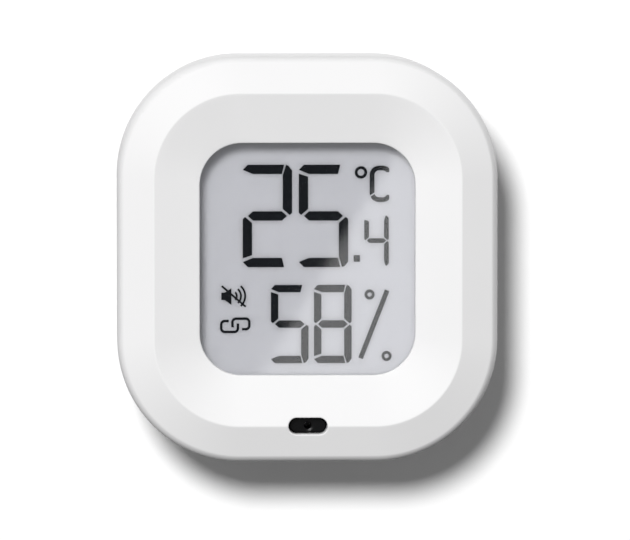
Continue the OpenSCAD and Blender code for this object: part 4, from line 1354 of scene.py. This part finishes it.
# Fixed places and values of the stage
REACH = 0.4
BACKDROP_GAP = 0.0003
FLOOR_DROP = 0.03
PAINT_DARK = (0.98, 0.98, 0.98, 1.0)
PAINT_LIGHT = (0.99, 0.99, 0.99, 1.0)
PAINT_SCALE = 40.0
PAINT_ROUGH = 0.9
BACKDROP_GLOW = 0.02
LAMP_DISTANCE = 1.8
LAMP_SIZE = 0.42
KEY_WAY = (-0.22, -1.0, 0.373)
REAR_LAMPS = (("rear left", (-0.5, 1.0, 0.5), 0.44), ("rear right", (0.9, 1.0, 0.4), 0.56))
CARD_PLACE = (0.03095, -0.8, -0.0227)
CARD_LEFT, CARD_RIGHT = -0.045, 0.035
CARD_LOW, CARD_HIGH = -0.031, 0.045
CARD_SOFT = 0.001
AMBIENT_WAY = (-0.4, 0.0, 0.92)
CLIP_NEAR, CLIP_FAR = 0.01, 20.0


def look_along(made, way):
    """Turns a lamp or a camera to look along a direction."""
    made.rotation_mode = "QUATERNION"
    made.rotation_quaternion = way.to_track_quat("-Z", "Y")


class SENSOR_OT_stage(bpy.types.Operator):
    """Set the pale surface that the sensor lies against, the lamps, the world and the camera"""

    bl_idname = "sensor.stage"
    bl_label = "Stage"

    def execute(self, context):
        stage = context.scene.sensor_stage
        self.surfaces()
        self.lamps(stage)
        self.card(stage)
        self.world(stage)
        self.camera(stage)
        context.scene.view_settings.view_transform = "Standard"
        return {"FINISHED"}

    def panel(self, name, corners, material):
        """A flat stage panel from its corners."""
        bm = bmesh.new()
        bm.faces.new([bm.verts.new(c) for c in corners])
        made = mesh_object(name, bm)
        made.data.materials.append(material)
        return made

    def surfaces(self):
        """A pale backdrop just behind the back face, seen from the front only, and a pale floor below.

        Neither throws light back on the sensor or shows in its gloss, so its lower sides stay dark.
        """
        r, y, low = REACH, CAD_HIGH.y + BACKDROP_GAP, CAD_LOW.z - FLOOR_DROP
        corners = [(-r, y, low), (r, y, low), (r, y, low + r), (-r, y, low + r)]
        backdrop = self.panel("backdrop", corners, self.backdrop_paint())
        corners = [(-r, -r, low), (r, -r, low), (r, r, low), (-r, r, low)]
        floor = self.panel("floor", corners, self.matt_paint("floor paint"))
        for made in (backdrop, floor):
            made.visible_diffuse = False
            made.visible_glossy = False

    def matt_paint(self, name):
        """Pale matt paint with a trace of roller texture."""
        material, tree, shader = new_material(name)
        texture = noise(tree, object_coordinates(tree), PAINT_SCALE)
        values = {"Factor": texture, "A": PAINT_DARK, "B": PAINT_LIGHT}
        base = add(tree, "ShaderNodeMix", values, data_type="RGBA").outputs["Result"]
        feed(shader, {"Specular IOR Level": 0.0, "Roughness": PAINT_ROUGH, "Base Color": base})
        return material

    def backdrop_paint(self):
        """The same paint, but clear from behind and to rays from lamps, so the back can be lit and seen."""
        material = self.matt_paint("backdrop paint")
        tree = material.node_tree
        shader = tree.nodes["Principled BSDF"]
        feed(shader, {"Emission Color": WHITE, "Emission Strength": BACKDROP_GLOW})
        clear = add(tree, "ShaderNodeBsdfTransparent")
        behind = add(tree, "ShaderNodeNewGeometry").outputs["Backfacing"]
        shadow = add(tree, "ShaderNodeLightPath").outputs["Is Shadow Ray"]
        share = either(tree, behind, shadow)
        end_in_mix(tree, "Material Output", share, shader.outputs["BSDF"], clear.outputs["BSDF"])
        return material

    def lamp(self, name, direction, power):
        """A round soft lamp along a direction, turned to the object."""
        light = bpy.data.lights.new(name, "AREA")
        light.shape = "DISK"
        light.size = LAMP_SIZE
        light.energy = power
        made = add_object(name, light)
        way = Vector(direction).normalized()
        made.location = MIDDLE + way * LAMP_DISTANCE
        look_along(made, -way)
        return made

    def lamps(self, stage):
        """A soft key from the upper left in front, and two soft lamps behind for the back and the sides.

        The light of the lamps behind goes no further than the sensor's sides, so its shadow stays dark.
        """
        self.lamp("key", KEY_WAY, stage.key_power)
        for name, direction, share in REAR_LAMPS:
            rear = self.lamp(name, direction, share * stage.rear_power)
            rear.visible_glossy = False
            rear.data.cycles.max_bounces = 0

    def card(self, stage):
        """A card in front, dark on the left and pale on the right, with a soft slanting edge for the window.

        It is only as large as what the window mirrors to the camera.
        """
        material, tree, shader = new_material("card glow")
        tree.nodes.remove(shader)
        across = (cos(stage.card_slant), 0.0, -sin(stage.card_slant))
        side = distance_along(tree, object_coordinates(tree), across)
        strength = spread(tree, side, 0.0, stage.card_glow, -CARD_SOFT, CARD_SOFT)
        glow = add(tree, "ShaderNodeEmission", {"Strength": strength})
        feed(tree.nodes["Material Output"], {"Surface": glow.outputs["Emission"]})
        corners = [
            (CARD_LEFT, 0.0, CARD_LOW),
            (CARD_RIGHT, 0.0, CARD_LOW),
            (CARD_RIGHT, 0.0, CARD_HIGH),
            (CARD_LEFT, 0.0, CARD_HIGH),
        ]
        made = self.panel("card", corners, material)
        made.location = CARD_PLACE
        made.visible_camera = False
        made.visible_diffuse = False
        made.visible_shadow = False
        made.visible_transmission = False

    def world(self, stage):
        """Soft light from all round that leans to the upper left; camera and gloss see a plain pale room."""
        world = bpy.data.worlds.new("studio")
        bpy.context.scene.world = world
        world.use_nodes = True
        tree = world.node_tree
        where = add(tree, "ShaderNodeTexCoord").outputs["Generated"]
        up = distance_along(tree, where, Vector(AMBIENT_WAY).normalized())
        low, high = stage.ambient * (1 - stage.lean), stage.ambient * (1 + stage.lean)
        light = tree.nodes["Background"]
        feed(light, {"Color": WHITE, "Strength": spread(tree, up, low, high, -1.0, 1.0)})
        seen = add(tree, "ShaderNodeBackground", {"Color": WHITE})
        rays = add(tree, "ShaderNodeLightPath").outputs
        shows = either(tree, rays["Is Camera Ray"], rays["Is Glossy Ray"])
        shows = either(tree, shows, rays["Is Transmission Ray"])
        end_in_mix(tree, "World Output", shows, light.outputs["Background"], seen.outputs["Background"])

    def camera(self, stage):
        """A long lens, a little above and to the left of the face's axis."""
        data = bpy.data.cameras.new("camera")
        made = add_object("camera", data)
        a, e = stage.view_azimuth, stage.view_height
        back = Vector((sin(a) * cos(e), -cos(a) * cos(e), sin(e)))
        right = Vector((cos(a), sin(a), 0.0))
        up = back.cross(right)
        made.location = MIDDLE + back * stage.view_distance
        aim = MIDDLE + right * stage.aim_x + up * stage.aim_y
        look_along(made, aim - made.location)
        data.lens = data.sensor_width * stage.view_distance / stage.view_width
        data.clip_start, data.clip_end = CLIP_NEAR, CLIP_FAR
        bpy.context.scene.camera = made


class SENSOR_PT_sensor(bpy.types.Panel):
    """Lists the sensor's pieces and their sizes"""

    bl_idname = "SENSOR_PT_sensor"
    bl_label = "Sensor"
    bl_space_type = "VIEW_3D"
    bl_region_type = "UI"
    bl_category = "Sensor"

    def draw(self, context):
        for step in STEPS:
            self.layout.operator(step.bl_idname)
        for name in SETTINGS:
            group = getattr(context.scene, name)
            for field in group.__annotations__:
                self.layout.prop(group, field)


STEPS = (
    SENSOR_OT_finishes,
    SENSOR_OT_front_shell,
    SENSOR_OT_rear_shell,
    SENSOR_OT_case_screws,
    SENSOR_OT_battery_door,
    SENSOR_OT_pair_button,
    SENSOR_OT_sensor_boot,
    SENSOR_OT_display_cell,
    SENSOR_OT_stage,
)
SETTINGS = {
    "sensor_shell": ShellSizes,
    "sensor_back": BackSizes,
    "sensor_colours": FinishColours,
    "sensor_stage": StageSettings,
}


def register():
    """Registers the settings, the operators and the panel."""
    for name, group in SETTINGS.items():
        bpy.utils.register_class(group)
        setattr(bpy.types.Scene, name, PointerProperty(type=group))
    for step in STEPS:
        bpy.utils.register_class(step)
    bpy.utils.register_class(SENSOR_PT_sensor)


def unregister():
    """Takes them out again."""
    bpy.utils.unregister_class(SENSOR_PT_sensor)
    for step in reversed(STEPS):
        bpy.utils.unregister_class(step)
    for name, group in SETTINGS.items():
        delattr(bpy.types.Scene, name)
        bpy.utils.unregister_class(group)


def main():
    """Builds the whole sensor."""
    register()
    bpy.ops.sensor.finishes()
    bpy.ops.sensor.front_shell()
    bpy.ops.sensor.rear_shell()
    bpy.ops.sensor.case_screws()
    bpy.ops.sensor.battery_door()
    bpy.ops.sensor.pair_button()
    bpy.ops.sensor.sensor_boot()
    bpy.ops.sensor.display_cell()
    bpy.ops.sensor.stage()


if __name__ == "__main__":
    main()
